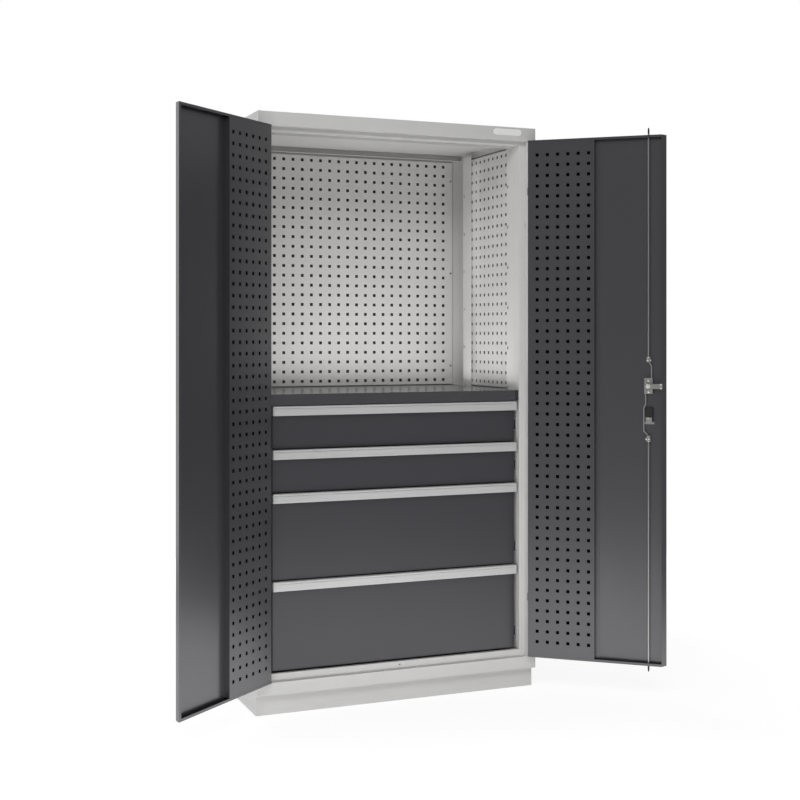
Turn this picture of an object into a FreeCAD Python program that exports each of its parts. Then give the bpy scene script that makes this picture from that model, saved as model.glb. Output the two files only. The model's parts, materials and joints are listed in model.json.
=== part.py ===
import FreeCAD, Part
import math
import os

os.makedirs("parts", exist_ok=True)
V = FreeCAD.Vector

# Tall workshop cabinet, two doors, four drawers. Millimetres.
# Origin on the floor under the middle of the body, Z up, front towards -Y.

# Cabinet body
WIDTH = 1000.0
DEPTH = 600.0
PLINTH_H = 68.0
PAN_H = 42.0
OPENING_H = 1789.0
CAP_H = 45.0
SHEET = 1.2
PLINTH_RECESS = 27.0
PLINTH_SIDE_STEP = 1.4
PLINTH_SHEET = 2.0
PLINTH_FLANGE = 40.0
PAN_RETURN = 45.0
CAP_FRONT_RETURN = 27.0
CAP_RETURN = 20.0
OVERRUN = 5.0

# Front and rear posts
LIP_W = 28.0
STOP_SETBACK = 26.2
POST_INSET = 50.0
FRONT_POST_END = 124.0
FRONT_POST_RETURN = 12.0
REAR_POST_INSET = 111.5
REAR_POST_D = 68.5
REAR_POST_FOOT = 40.0
SHELF_SLOT_W = 8.0
SHELF_SLOT_H = 10.0
SHELF_SLOT_EDGE = 9.5
SHELF_SLOT_PITCH = 142.8
SHELF_SLOT_TOP = 148.2
LIP_SLOT_W = 4.0
LIP_SLOT_H = 16.0
LIP_SLOT_TOP = 290.4
LIP_SLOT_BOTTOM = 297.0

# Rails across the opening
RAIL_GAP = 1.0
TOP_RAIL_H = 12.0
TOP_RAIL_D = 45.0
TOP_RAIL_LIP = 8.0
BOTTOM_RAIL_H = 21.0
BOTTOM_RAIL_D = 13.0
RAIL_HOLE_R = 2.5
CEILING_DROP = 22.8
CEILING_SIDE_GAP = 12.0

# Square perforation
PITCH = 35.7
HOLE = 10.5
PANEL_TOP_GAP = 7.0
PANEL_BASE_GAP = 1.5
BACK_PANEL_GAP = 11.0
BACK_PANEL_MARGIN = 30.0
PANEL_ROW_MARGIN = 12.0
SIDE_PANEL_GAP = 21.2
SIDE_PANEL_FRONT_GAP = 12.3
SIDE_PANEL_REAR_GAP = 1.0
SIDE_PANEL_MARGIN = 10.0
SCREW_HEAD_R = 4.0
SCREW_HEAD_H = 2.0
SCREW_NECK = 4.6
SCREW_HOLE = 5.0
SCREW_EDGE = 9.0
SCREW_ROW_GAP = 72.0

# Worktop
WORK_Z = 1033.5
WORK_H = 36.5
WORK_SHEET = 1.5
WORK_SETBACK = 28.0
WORK_CORNER_R = 5.0
WORK_PANEL_GAP = 0.8
WORK_POST_GAP = 0.5
WORK_BACK_GAP = 0.5
WORK_CORNER_FIND = 0.5

# Drawers
DRAWER_TOP_GAP = 2.5
DRAWER_GAP = 3.0
DRAWER_BASE_GAP = 3.5
SHALLOW_FRONT_H = 139.0
MIDDLE_FRONT_H = 282.0
FRONT_SIDE_GAP = 14.0
FRONT_SETBACK = 43.0
FRONT_D = 14.0
BOX_BACK_GAP = 73.0
BOX_LIFT = 8.0
BOX_DROP = 30.0
HANDLE_OVERLAP = 4.0
HANDLE_H = 31.0
HANDLE_D = 17.0
HANDLE_WALL = 2.5
HANDLE_EDGE = 1.5
HANDLE_GROOVE_Z = 7.0
HANDLE_GROOVE_H = 1.2
HANDLE_GROOVE_D = 1.0
HANDLE_ROOF = 10.0
HANDLE_FOOT = 4.0

# Drawer slides
SLIDE_H = 45.0
SLIDE_SHORT = 40.0
SLIDE_W = 13.5
SLIDE_SETBACK = 50.0
SLIDE_RISE = 50.0
SLIDE_GAP = 0.5
SLIDE_LIP = 8.2

# Doors
DOOR_SIDE_GAP = 1.5
DOOR_OVER = 1.5
DOOR_MEET_GAP = 1.0
DOOR_TOP_GAP = 1.2
DOOR_BOTTOM_GAP = 3.5
DOOR_D = 21.0
DOOR_SLANT = 13.0
DOOR_LIP = 8.5
LEFT_FREE_LIP = 11.0
DOOR_HINGE_LIP = 14.0
DOOR_PANEL_EDGE = 3.1
DOOR_PANEL_FREE = 240.7
DOOR_PANEL_FOOT = 15.0
DOOR_PANEL_FIT = 0.3
DOOR_COL_FOLD = 20.0
DOOR_COL_MARGIN = 18.0
DOOR_ROW_TOP = 42.75
DOOR_ROW_MARGIN = 30.0
LEFT_OPEN_DEG = 140.0
RIGHT_OPEN_DEG = 139.4

# Barrel hinges
HINGE_AXIS_IN = 0.6
HINGE_AXIS_OUT = 2.0
HINGE_R = 5.0
HINGE_PIN_R = 3.0
HINGE_RUN = 0.08
HINGE_H = 54.0
HINGE_SPLIT = 0.2
HINGE_TOP = 189.0
HINGE_BOTTOM = 193.0
HINGE_LEAF = 2.0
FRAME_LEAF_W = 18.0
DOOR_LEAF_W = 18.0
LIP_NOTCH_W = 5.5
LIP_NOTCH_D = 5.5
DOOR_NOTCH = 4.0
HINGE_END_GAP = 1.0

# Bolt rods and links of the right door
ROD_R = 3.0
ROD_EDGE = 59.0
ROD_T = 10.0
ROD_POINT = 7.0
ROD_POINT_R = 1.6
UPPER_THROW = 24.0
LOWER_THROW = 17.4
KEEPER_R = 5.0
ROD_HOLE_R = 4.5
GUIDE_R = 7.0
GUIDE_H = 8.0
ROD_RUN = 0.1
LINK_W = 3.4
LINK_T0 = 7.0
LINK_T1 = 9.5
CLIP_W = 12.0
CLIP_T0 = 4.0
CLIP_T1 = 15.0
UPPER_CLIP_RISE = 81.0
UPPER_CLIP_H = 18.0
LOWER_CLIP_DROP = 167.0
LOWER_CLIP_H = 20.0
UPPER_LINK_OUT = 9.7
UPPER_LINK_END = 11.0
UPPER_LINK_BEND = 68.0
LOWER_LINK_IN = 10.0
LOWER_LINK_FAR = 16.0
LOWER_LINK_END = 11.0
LOWER_LINK_BEND_1 = 62.0
LOWER_LINK_BEND_2 = 71.0
LOWER_LINK_BEND_3 = 152.0
LOWER_LINK_BEND_4 = 163.0
LOWER_LINK_OFF = 4.3

# Swing handle, latch and key cylinder
LOCK_Z = 1053.1
SPINDLE_R = 4.5
SPINDLE_RUN = 0.08
TONGUE_GAP = 0.6
CRANK_R = 18.5
CRANK_DEG = 58.5
CRANK_W = 6.0
CRANK_T0 = 3.0
CRANK_T1 = 6.0
CRANK_PIN_R = 1.5
CRANK_PIN_GAP = 0.3
TONGUE_L = 47.7
TONGUE_ROOT_W = 14.0
TONGUE_TIP_W = 18.0
TONGUE_T = 3.0
TONGUE_BACK = 7.0
HOUSING_W = 28.4
HOUSING_RISE = 27.8
HOUSING_FALL = 25.1
HOUSING_TOP = 14.5
HOUSING_LINK_GAP = 3.0
LOCK_SCREW_R = 3.2
LOCK_SCREW_H = 1.6
LOCK_SHANK_R = 1.5
LOCK_SCREW_FIT = 0.05
LOCK_SCREW_RISE = 18.5
LOCK_SCREW_FALL = 19.2
KEY_DROP = 96.1
KEY_SHIFT = 1.2
KEY_R = 8.0
KEY_RUN = 0.08
KEY_SKIN_GAP = 1.0
KEY_HEAD_R = 10.5
KEY_HEAD_H = 2.5
KEY_HEAD_GAP = 0.1
KEY_END = 10.0
KEYWAY_W = 1.6
KEYWAY_L = 9.0
KEYWAY_D = 6.0
CYL_W = 26.0
CYL_H = 48.0
CYL_TOP = 13.0
CLAMP_W = 20.4
CLAMP_RISE = 15.0
CLAMP_T = 1.5
CYL_BASE_W = 33.2
CYL_BASE_H = 8.3
CYL_BASE_T = 2.8
CYL_BASE_SHIFT = 0.4
PLATE_W = 34.0
PLATE_T = 6.0
PLATE_RISE = 33.0
PLATE_DROP = 130.0
PLATE_CORNER_R = 8.0
YOKE_W = 14.0
YOKE_FALL = 7.5
YOKE_RISE = 20.0
YOKE_GAP = 0.4
YOKE_TOP = 16.0
PIVOT_RISE = 17.0
PIVOT_OUT = 13.0
PIVOT_R = 2.0
PIVOT_RUN = 0.08
LEVER_W = 24.0
LEVER_WALL = 4.5
LEVER_OUT = 21.0
LEVER_IN = 8.5
LEVER_ROOF = 3.5
LEVER_L = 85.0
LEVER_ABOVE = 5.0
LEVER_CHAMFER = 4.0

# Levels and faces that follow from the sizes above
X_OUT = WIDTH / 2
X_WALL = X_OUT - SHEET
Y_FRONT = -DEPTH / 2
Y_BACK = DEPTH / 2
Y_WALL = Y_BACK - SHEET
Z_FLOOR = PLINTH_H + PAN_H
Z_CAP = Z_FLOOR + OPENING_H
Z_TOP = Z_CAP + CAP_H
X_LIP = X_OUT - LIP_W
X_POST = X_OUT - POST_INSET
Y_STOP = Y_FRONT + STOP_SETBACK
Y_RAIL = Y_STOP - SHEET
Y_POST_END = Y_FRONT + FRONT_POST_END
Y_REAR_FACE = Y_BACK - REAR_POST_INSET
Y_REAR_POST = Y_REAR_FACE - REAR_POST_D
X_SIDE_PANEL = X_OUT - SIDE_PANEL_GAP
Y_BACK_PANEL = Y_BACK - BACK_PANEL_GAP
Z_PANEL_0 = WORK_Z + PANEL_BASE_GAP
Z_PANEL_1 = Z_CAP - PANEL_TOP_GAP
Z_WORK_BASE = WORK_Z - WORK_H
Y_WORK = Y_FRONT + WORK_SETBACK
X_DRAWER = X_POST - FRONT_SIDE_GAP
X_BOX = X_POST - SLIDE_W
Y_DRAWER = Y_FRONT + FRONT_SETBACK
Y_BOX = Y_DRAWER + FRONT_D
BOX_D = Y_BACK - BOX_BACK_GAP - Y_BOX
SLIDE_L = BOX_D - SLIDE_SHORT
Y_SLIDE = Y_FRONT + SLIDE_SETBACK
X_DOOR = X_LIP - DOOR_SIDE_GAP
DOOR_W = X_DOOR + DOOR_OVER
LEFT_W = X_DOOR - DOOR_OVER - DOOR_MEET_GAP
ROD_IN = DOOR_W - ROD_EDGE
Z_DOOR_0 = Z_FLOOR + DOOR_BOTTOM_GAP
Z_DOOR_1 = Z_CAP - DOOR_TOP_GAP
HINGE_X = X_LIP + HINGE_AXIS_IN
HINGE_Y = Y_FRONT - HINGE_AXIS_OUT
HINGE_LEVELS = [Z_CAP - HINGE_TOP, Z_FLOOR + HINGE_BOTTOM]
X_ROD = X_DOOR - ROD_IN
Y_ROD = Y_FRONT + ROD_T
KEY_IN = ROD_IN + KEY_SHIFT
KEY_Z = LOCK_Z - KEY_DROP
SPINDLE_END = DOOR_D + TONGUE_GAP


def box(x0, x1, y0, y1, z0, z1):
    return Part.makeBox(x1 - x0, y1 - y0, z1 - z0, V(x0, y0, z0))


def door_box(s0, s1, t0, t1, z0, z1):
    """Box on the closed right door: s from its hinge edge, t in from its outer face."""
    return box(X_DOOR - s1, X_DOOR - s0, Y_FRONT + t0, Y_FRONT + t1, z0, z1)


def door_rod(s, z, radius, t0, t1):
    return Part.makeCylinder(radius, t1 - t0, V(X_DOOR - s, Y_FRONT + t0, z), V(0, 1, 0))


def post(x, y, radius, z0, z1):
    return Part.makeCylinder(radius, z1 - z0, V(x, y, z0), V(0, 0, 1))


def join(shapes):
    return shapes[0].multiFuse(shapes[1:]).removeSplitter()


def prism(points, along):
    wire = Part.makePolygon(points + [points[0]])
    return Part.Face(wire).extrude(along)


def mirrored(shape):
    return shape.mirror(V(0, 0, 0), V(1, 0, 0))


def both_sides(shape):
    return [shape, mirrored(shape)]


def open_right(shape):
    turned = shape.copy()
    turned.rotate(V(HINGE_X, HINGE_Y, 0), V(0, 0, 1), RIGHT_OPEN_DEG)
    return turned


def open_left(shape):
    turned = mirrored(shape)
    turned.rotate(V(-HINGE_X, HINGE_Y, 0), V(0, 0, 1), -LEFT_OPEN_DEG)
    return turned


def centred(low, high, margin, pitch):
    count = int((high - low - 2 * margin) / pitch) + 1
    first = (low + high - (count - 1) * pitch) / 2
    return [first + i * pitch for i in range(count)]


def stepped(start, low, pitch):
    """Levels from start downwards, one pitch apart, none below low."""
    count = int((start - low) / pitch) + 1
    return [start - i * pitch for i in range(count)]


def square(spot, point, size):
    """Edge of a square hole, run the other way round than the sheet's own edge."""
    half = size / 2
    u, w = spot
    corners = [(u - half, w - half), (u - half, w + half), (u + half, w + half), (u + half, w - half)]
    return Part.makePolygon([point(*c) for c in corners + corners[:1]])


def holed_sheet(u0, u1, w0, w1, point, along, spots):
    """Flat sheet with square holes; point maps its own two directions into space."""
    corners = [(u0, w0), (u1, w0), (u1, w1), (u0, w1), (u0, w0)]
    outer = Part.makePolygon([point(*c) for c in corners])
    holes = [square(spot, point, size) for spot, size in spots]
    return Part.Face([outer] + holes).extrude(along)


def plinth():
    x1 = X_OUT - PLINTH_SIDE_STEP
    y0 = Y_FRONT + PLINTH_RECESS
    y1 = Y_BACK - PLINTH_SIDE_STEP
    s = PLINTH_SHEET
    f = PLINTH_FLANGE
    outer = box(-x1, x1, y0, y1, 0, PLINTH_H)
    hollow = box(-x1 + s, x1 - s, y0 + s, y1 - s, s, PLINTH_H - s)
    through = box(-x1 + f, x1 - f, y0 + f, y1 - f, -OVERRUN, PLINTH_H + OVERRUN)
    return outer.cut(hollow).cut(through)


def keeper_holes(z0, z1):
    return both_sides(post(X_ROD, Y_ROD, KEEPER_R, z0 - OVERRUN, z1 + OVERRUN))


def bottom_pan():
    r = PAN_RETURN
    z0 = PLINTH_H
    outer = box(-X_OUT, X_OUT, Y_FRONT, Y_BACK, z0, Z_FLOOR)
    hollow = box(-X_WALL, X_WALL, Y_FRONT + SHEET, Y_WALL, z0 + SHEET, Z_FLOOR - SHEET)
    under = box(-X_OUT + r, X_OUT - r, Y_FRONT + r, Y_BACK - r, z0 - OVERRUN, z0 + SHEET)
    shape = outer.cut(hollow).cut(under)
    for hole in keeper_holes(Z_FLOOR - SHEET, Z_FLOOR):
        shape = shape.cut(hole)
    return shape


def top_cap():
    r = CAP_RETURN
    outer = box(-X_OUT, X_OUT, Y_FRONT, Y_BACK, Z_CAP, Z_TOP)
    hollow = box(-X_WALL, X_WALL, Y_FRONT + SHEET, Y_WALL, Z_CAP + SHEET, Z_TOP - SHEET)
    y0 = Y_FRONT + CAP_FRONT_RETURN
    under = box(-X_OUT + r, X_OUT - r, y0, Y_BACK - r, Z_CAP - OVERRUN, Z_CAP + SHEET)
    shape = outer.cut(hollow).cut(under)
    for hole in keeper_holes(Z_CAP, Z_CAP + SHEET):
        shape = shape.cut(hole)
    return shape


def ceiling_panel():
    x1 = X_OUT - CEILING_SIDE_GAP
    z1 = Z_TOP - CEILING_DROP
    y0 = Y_RAIL + TOP_RAIL_D
    z0 = Z_CAP + SHEET
    outer = box(-x1, x1, y0, Y_WALL, z0, z1)
    under = box(-x1 + SHEET, x1 - SHEET, y0 - OVERRUN, Y_WALL + OVERRUN, z0 - OVERRUN, z1 - SHEET)
    return outer.cut(under)


def side_wall():
    return box(X_WALL, X_OUT, Y_FRONT, Y_BACK, Z_FLOOR, Z_CAP)


def back_wall():
    return box(-X_WALL, X_WALL, Y_WALL, Y_BACK, Z_FLOOR, Z_CAP)


def slot_levels():
    top = Z_CAP - SHELF_SLOT_TOP
    count = int((top - Z_FLOOR - SHELF_SLOT_H) / SHELF_SLOT_PITCH) + 1
    return [top - i * SHELF_SLOT_PITCH for i in range(count)]


def shelf_slots(y_mid):
    y0 = y_mid - SHELF_SLOT_W / 2
    y1 = y_mid + SHELF_SLOT_W / 2
    half = SHELF_SLOT_H / 2
    x0 = X_POST - OVERRUN
    x1 = X_POST + SHEET + OVERRUN
    return [box(x0, x1, y0, y1, z - half, z + half) for z in slot_levels()]


def lip_slots():
    half = LIP_SLOT_H / 2
    levels = [Z_CAP - LIP_SLOT_TOP, Z_FLOOR + LIP_SLOT_BOTTOM]
    x0 = X_LIP - OVERRUN
    x1 = X_LIP + SHEET
    return [box(x0, x1, Y_STOP - LIP_SLOT_W, Y_STOP, z - half, z + half) for z in levels]


def hinge_notches():
    half = HINGE_H / 2 + HINGE_END_GAP
    x0 = X_LIP - OVERRUN
    x1 = X_LIP + LIP_NOTCH_W
    y0 = Y_FRONT - OVERRUN
    y1 = Y_FRONT + LIP_NOTCH_D
    return [box(x0, x1, y0, y1, z - half, z + half) for z in HINGE_LEVELS]


def front_post():
    z0, z1 = Z_FLOOR, Z_CAP
    x_end = X_POST + FRONT_POST_RETURN
    shape = join([
        box(X_LIP, X_WALL, Y_FRONT, Y_FRONT + SHEET, z0, z1),
        box(X_LIP, X_LIP + SHEET, Y_FRONT, Y_STOP + SHEET, z0, z1),
        box(X_POST, X_LIP + SHEET, Y_STOP, Y_STOP + SHEET, z0, z1),
        box(X_POST, X_POST + SHEET, Y_STOP, Y_POST_END, z0, z1),
        box(X_POST, x_end, Y_POST_END - SHEET, Y_POST_END, z0, z1),
    ])
    cuts = shelf_slots(Y_POST_END - SHELF_SLOT_EDGE) + lip_slots() + hinge_notches()
    return shape.cut(Part.makeCompound(cuts))


def rear_post():
    z0, z1 = Z_FLOOR, Z_CAP
    y1 = Y_REAR_FACE
    shape = join([
        box(X_POST, X_POST + SHEET, Y_REAR_POST, y1, z0, z1),
        box(X_POST, X_WALL, y1 - SHEET, y1, z0, z1),
        box(X_WALL - SHEET, X_WALL, y1 - SHEET, y1 + REAR_POST_FOOT, z0, z1),
    ])
    return shape.cut(Part.makeCompound(shelf_slots(y1 - SHELF_SLOT_EDGE)))


def rail_hole(z):
    return Part.makeCylinder(RAIL_HOLE_R, SHEET + 2 * OVERRUN, V(0, Y_RAIL - OVERRUN, z), V(0, 1, 0))


def top_front_rail():
    x0 = X_LIP - RAIL_GAP
    x1 = X_POST - RAIL_GAP
    z0 = Z_CAP - TOP_RAIL_H
    y1 = Y_RAIL + TOP_RAIL_D
    shape = join([
        box(-x0, x0, Y_RAIL, Y_STOP, z0, Z_CAP),
        box(-x1, x1, Y_RAIL, y1, z0, z0 + SHEET),
        box(-x1, x1, y1 - SHEET, y1, z0 - TOP_RAIL_LIP, z0 + SHEET),
    ])
    return shape.cut(rail_hole(Z_CAP - TOP_RAIL_H / 2))


def bottom_front_rail():
    x0 = X_LIP - RAIL_GAP
    x1 = X_POST - RAIL_GAP
    z1 = Z_FLOOR + BOTTOM_RAIL_H
    shape = join([
        box(-x0, x0, Y_RAIL, Y_STOP, Z_FLOOR, z1),
        box(-x1, x1, Y_RAIL, Y_RAIL + BOTTOM_RAIL_D, z1 - SHEET, z1),
    ])
    return shape.cut(rail_hole(Z_FLOOR + BOTTOM_RAIL_H / 2))


def screw_levels():
    z0 = Z_PANEL_0 + SCREW_ROW_GAP
    z1 = Z_PANEL_1 - SCREW_ROW_GAP
    return [z0, (z0 + z1) / 2, z1]


def back_screw_spots():
    x = X_POST - SCREW_EDGE
    return [(side, z) for z in screw_levels() for side in (-x, x)]


def back_perforated_panel():
    x1 = X_POST
    y0 = Y_BACK_PANEL
    spots = [((x, z), HOLE)
             for x in centred(-x1, x1, BACK_PANEL_MARGIN, PITCH)
             for z in centred(Z_PANEL_0, Z_PANEL_1, PANEL_ROW_MARGIN, PITCH)]
    spots += [(spot, SCREW_HOLE) for spot in back_screw_spots()]
    face = holed_sheet(-x1, x1, Z_PANEL_0, Z_PANEL_1, lambda u, w: V(u, y0, w), V(0, SHEET, 0), spots)
    behind = y0 + SHEET
    return join([
        face,
        box(-x1, -x1 + SHEET, behind, Y_WALL, Z_PANEL_0, Z_PANEL_1),
        box(x1 - SHEET, x1, behind, Y_WALL, Z_PANEL_0, Z_PANEL_1),
        box(-x1, x1, behind, Y_WALL, Z_PANEL_0, Z_PANEL_0 + SHEET),
        box(-x1, x1, behind, Y_WALL, Z_PANEL_1 - SHEET, Z_PANEL_1),
    ])


def side_panel_ends():
    return Y_POST_END + SIDE_PANEL_FRONT_GAP, Y_REAR_FACE - SHEET - SIDE_PANEL_REAR_GAP


def side_screw_spots():
    y0, y1 = side_panel_ends()
    levels = screw_levels()
    return [(y, z) for z in (levels[0], levels[-1]) for y in (y0 + SCREW_EDGE, y1 - SCREW_EDGE)]


def side_perforated_panel():
    y0, y1 = side_panel_ends()
    x0 = X_SIDE_PANEL
    spots = [((y, z), HOLE)
             for y in centred(y0, y1, SIDE_PANEL_MARGIN, PITCH)
             for z in centred(Z_PANEL_0, Z_PANEL_1, PANEL_ROW_MARGIN, PITCH)]
    spots += [(spot, SCREW_HOLE) for spot in side_screw_spots()]
    face = holed_sheet(y0, y1, Z_PANEL_0, Z_PANEL_1, lambda u, w: V(x0, u, w), V(SHEET, 0, 0), spots)
    behind = x0 + SHEET
    return join([
        face,
        box(behind, X_WALL, y0, y0 + SHEET, Z_PANEL_0, Z_PANEL_1),
        box(behind, X_WALL, y1 - SHEET, y1, Z_PANEL_0, Z_PANEL_1),
        box(behind, X_WALL, y0, y1, Z_PANEL_0, Z_PANEL_0 + SHEET),
        box(behind, X_WALL, y0, y1, Z_PANEL_1 - SHEET, Z_PANEL_1),
    ])


def screw_on_back(x, z):
    half = SCREW_NECK / 2
    head = Part.makeCylinder(SCREW_HEAD_R, SCREW_HEAD_H, V(x, Y_BACK_PANEL, z), V(0, -1, 0))
    neck = box(x - half, x + half, Y_BACK_PANEL - SCREW_HEAD_H, Y_WALL, z - half, z + half)
    return join([head, neck])


def screw_on_side(y, z):
    half = SCREW_NECK / 2
    head = Part.makeCylinder(SCREW_HEAD_R, SCREW_HEAD_H, V(X_SIDE_PANEL, y, z), V(-1, 0, 0))
    neck = box(X_SIDE_PANEL - SCREW_HEAD_H, X_WALL, y - half, y + half, z - half, z + half)
    return join([head, neck])


def panel_screws():
    solids = [screw_on_back(x, z) for x, z in back_screw_spots()]
    for y, z in side_screw_spots():
        solids += both_sides(screw_on_side(y, z))
    return Part.makeCompound(solids)


def worktop_outline(inset):
    x_post = X_POST - inset
    x_wide = X_SIDE_PANEL - WORK_PANEL_GAP - inset
    y0 = Y_WORK + inset
    y1 = Y_POST_END + WORK_POST_GAP + inset
    y2 = Y_REAR_POST - WORK_POST_GAP - inset
    y3 = Y_BACK_PANEL - WORK_BACK_GAP - inset
    half = [(x_post, y0), (x_post, y1), (x_wide, y1), (x_wide, y2), (x_post, y2), (x_post, y3)]
    return half + [(-x, y) for x, y in reversed(half)]


def worktop():
    outer = prism([V(x, y, Z_WORK_BASE) for x, y in worktop_outline(0)], V(0, 0, WORK_H))
    corners = [e for e in outer.Edges if is_front_corner(e)]
    outer = outer.makeFillet(WORK_CORNER_R, corners)
    depth = WORK_H - WORK_SHEET + OVERRUN
    inner = [V(x, y, Z_WORK_BASE - OVERRUN) for x, y in worktop_outline(WORK_SHEET)]
    return outer.cut(prism(inner, V(0, 0, depth)))


def is_front_corner(edge):
    mid = edge.CenterOfMass
    near = WORK_CORNER_FIND
    upright = abs(edge.BoundBox.ZLength - WORK_H) < near
    return upright and abs(mid.y - Y_WORK) < near and abs(abs(mid.x) - X_POST) < near


def drawer_levels():
    """Bottom and top of each drawer front, from the top drawer down."""
    top = Z_WORK_BASE - DRAWER_TOP_GAP
    levels = []
    for height in (SHALLOW_FRONT_H, SHALLOW_FRONT_H, MIDDLE_FRONT_H):
        levels.append((top - height, top))
        top = top - height - DRAWER_GAP
    levels.append((Z_FLOOR + BOTTOM_RAIL_H + DRAWER_BASE_GAP, top))
    return levels


def drawer_front(z0, z1):
    outer = box(-X_DRAWER, X_DRAWER, Y_DRAWER, Y_BOX, z0, z1)
    x1 = X_DRAWER - SHEET
    hollow = box(-x1, x1, Y_DRAWER + SHEET, Y_BOX + OVERRUN, z0 + SHEET, z1 - SHEET)
    return outer.cut(hollow)


def drawer_box(z0, z1):
    y1 = Y_BOX + BOX_D
    bottom = z0 + BOX_LIFT
    top = z1 - BOX_DROP
    outer = box(-X_BOX, X_BOX, Y_BOX, y1, bottom, top)
    x1 = X_BOX - SHEET
    hollow = box(-x1, x1, Y_BOX + SHEET, y1 - SHEET, bottom + SHEET, top + OVERRUN)
    return outer.cut(hollow)


def drawer_handle(z1):
    x1 = X_DRAWER + HANDLE_OVERLAP
    y0 = Y_DRAWER - HANDLE_D
    g0 = z1 - HANDLE_GROOVE_Z
    g1 = g0 - HANDLE_GROOVE_H
    z0 = z1 - HANDLE_H
    roof = z1 - HANDLE_ROOF
    section = [
        (Y_DRAWER, z1), (y0 + HANDLE_EDGE, z1), (y0, z1 - HANDLE_EDGE), (y0, g0),
        (y0 + HANDLE_GROOVE_D, g0), (y0 + HANDLE_GROOVE_D, g1), (y0, g1), (y0, z0 + HANDLE_EDGE),
        (y0 + HANDLE_EDGE, z0), (y0 + HANDLE_WALL, z0), (y0 + HANDLE_WALL, roof),
        (Y_DRAWER - HANDLE_WALL, roof), (Y_DRAWER - HANDLE_WALL, z0 + HANDLE_FOOT),
        (Y_DRAWER, z0 + HANDLE_FOOT),
    ]
    return prism([V(-x1, y, z) for y, z in section], V(2 * x1, 0, 0))


def channel(x_web, x_lip, half, z_mid):
    """One sheet channel of a slide: upright web at x_web, lips reaching to x_lip."""
    way = math.copysign(SHEET, x_lip - x_web)
    web = sorted((x_web, x_web + way))
    lips = sorted((x_web, x_lip))
    y1 = Y_SLIDE + SLIDE_L
    return join([
        box(web[0], web[1], Y_SLIDE, y1, z_mid - half, z_mid + half),
        box(lips[0], lips[1], Y_SLIDE, y1, z_mid + half - SHEET, z_mid + half),
        box(lips[0], lips[1], Y_SLIDE, y1, z_mid - half, z_mid - half + SHEET),
    ])


def slide_step():
    return SHEET + SLIDE_GAP


def slide_level(z0):
    return z0 + BOX_LIFT + SLIDE_RISE


def fixed_rails(z0):
    return both_sides(channel(X_POST, X_POST - SHEET - SLIDE_LIP, SLIDE_H / 2, slide_level(z0)))


def mid_rails(z0):
    half = SLIDE_H / 2 - slide_step()
    x_web = X_POST - slide_step()
    return both_sides(channel(x_web, X_POST - SHEET - SLIDE_LIP, half, slide_level(z0)))


def inner_rails(z0):
    half = SLIDE_H / 2 - 2 * slide_step()
    x_lip = X_POST - 2 * slide_step() - SLIDE_GAP
    return both_sides(channel(X_BOX, x_lip, half, slide_level(z0)))


def door_outline(inset, skin, inner):
    """Plan of a closed door, set in by one sheet or none; its free edge leans from skin to inner."""
    wall = inset * math.hypot(inner - skin, DOOR_D) / DOOR_D
    lean = (inner - skin) / DOOR_D
    plan = [(inset, inset), (skin + lean * inset - wall, inset), (inner - wall, DOOR_D), (inset, DOOR_D)]
    return [(X_DOOR - s, Y_FRONT + t) for s, t in plan]


def door_notches():
    half = HINGE_H / 2 + HINGE_END_GAP
    return [door_box(-OVERRUN, DOOR_NOTCH, -OVERRUN, DOOR_NOTCH, z - half, z + half) for z in HINGE_LEVELS]


def door_skin(skin, inner, window_end):
    tall = Z_DOOR_1 - Z_DOOR_0
    outer = prism([V(x, y, Z_DOOR_0) for x, y in door_outline(0, skin, inner)], V(0, 0, tall))
    z0 = Z_DOOR_0 + SHEET
    inside = prism([V(x, y, z0) for x, y in door_outline(SHEET, skin, inner)], V(0, 0, tall - 2 * SHEET))
    lip_t = DOOR_D - SHEET
    hinge_lip = door_box(0, DOOR_HINGE_LIP, lip_t - SHEET, lip_t, Z_DOOR_0, Z_DOOR_1)
    lips = door_box(-OVERRUN, inner + OVERRUN, lip_t, DOOR_D + OVERRUN, Z_DOOR_0, Z_DOOR_1)
    window = door_box(-OVERRUN, window_end, lip_t - OVERRUN, DOOR_D + OVERRUN,
                      Z_DOOR_0 + DOOR_LIP, Z_DOOR_1 - DOOR_LIP)
    rebate = door_box(-OVERRUN, DOOR_HINGE_LIP, lip_t, DOOR_D + OVERRUN,
                      Z_DOOR_0 + DOOR_LIP, Z_DOOR_1 - DOOR_LIP)
    shell = outer.cut(inside)
    frame = outer.common(lips).cut(window)
    shape = join([shell, frame]).cut(rebate)
    shape = join([shape, hinge_lip])
    return shape.cut(Part.makeCompound(door_notches()))


def left_skin():
    """Left door; the inner end of its free edge reaches behind the right door."""
    inner = LEFT_W + DOOR_SLANT
    return door_skin(LEFT_W, inner, inner - LEFT_FREE_LIP)


def right_skin():
    """Right door; the outer end of its free edge reaches over the left door, with no lip inside."""
    return door_skin(DOOR_W, DOOR_W - DOOR_SLANT, DOOR_W)


def lock_holes():
    z0 = Z_DOOR_0 - OVERRUN
    z1 = Z_DOOR_1 + OVERRUN
    return [
        post(X_ROD, Y_ROD, ROD_HOLE_R, z0, Z_DOOR_0 + SHEET + OVERRUN),
        post(X_ROD, Y_ROD, ROD_HOLE_R, Z_DOOR_1 - SHEET - OVERRUN, z1),
        door_rod(ROD_IN, LOCK_Z, SPINDLE_R + SPINDLE_RUN, -OVERRUN, SHEET + OVERRUN),
        door_rod(KEY_IN, KEY_Z, KEY_R + KEY_SKIN_GAP, -OVERRUN, SHEET + OVERRUN),
    ]


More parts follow.
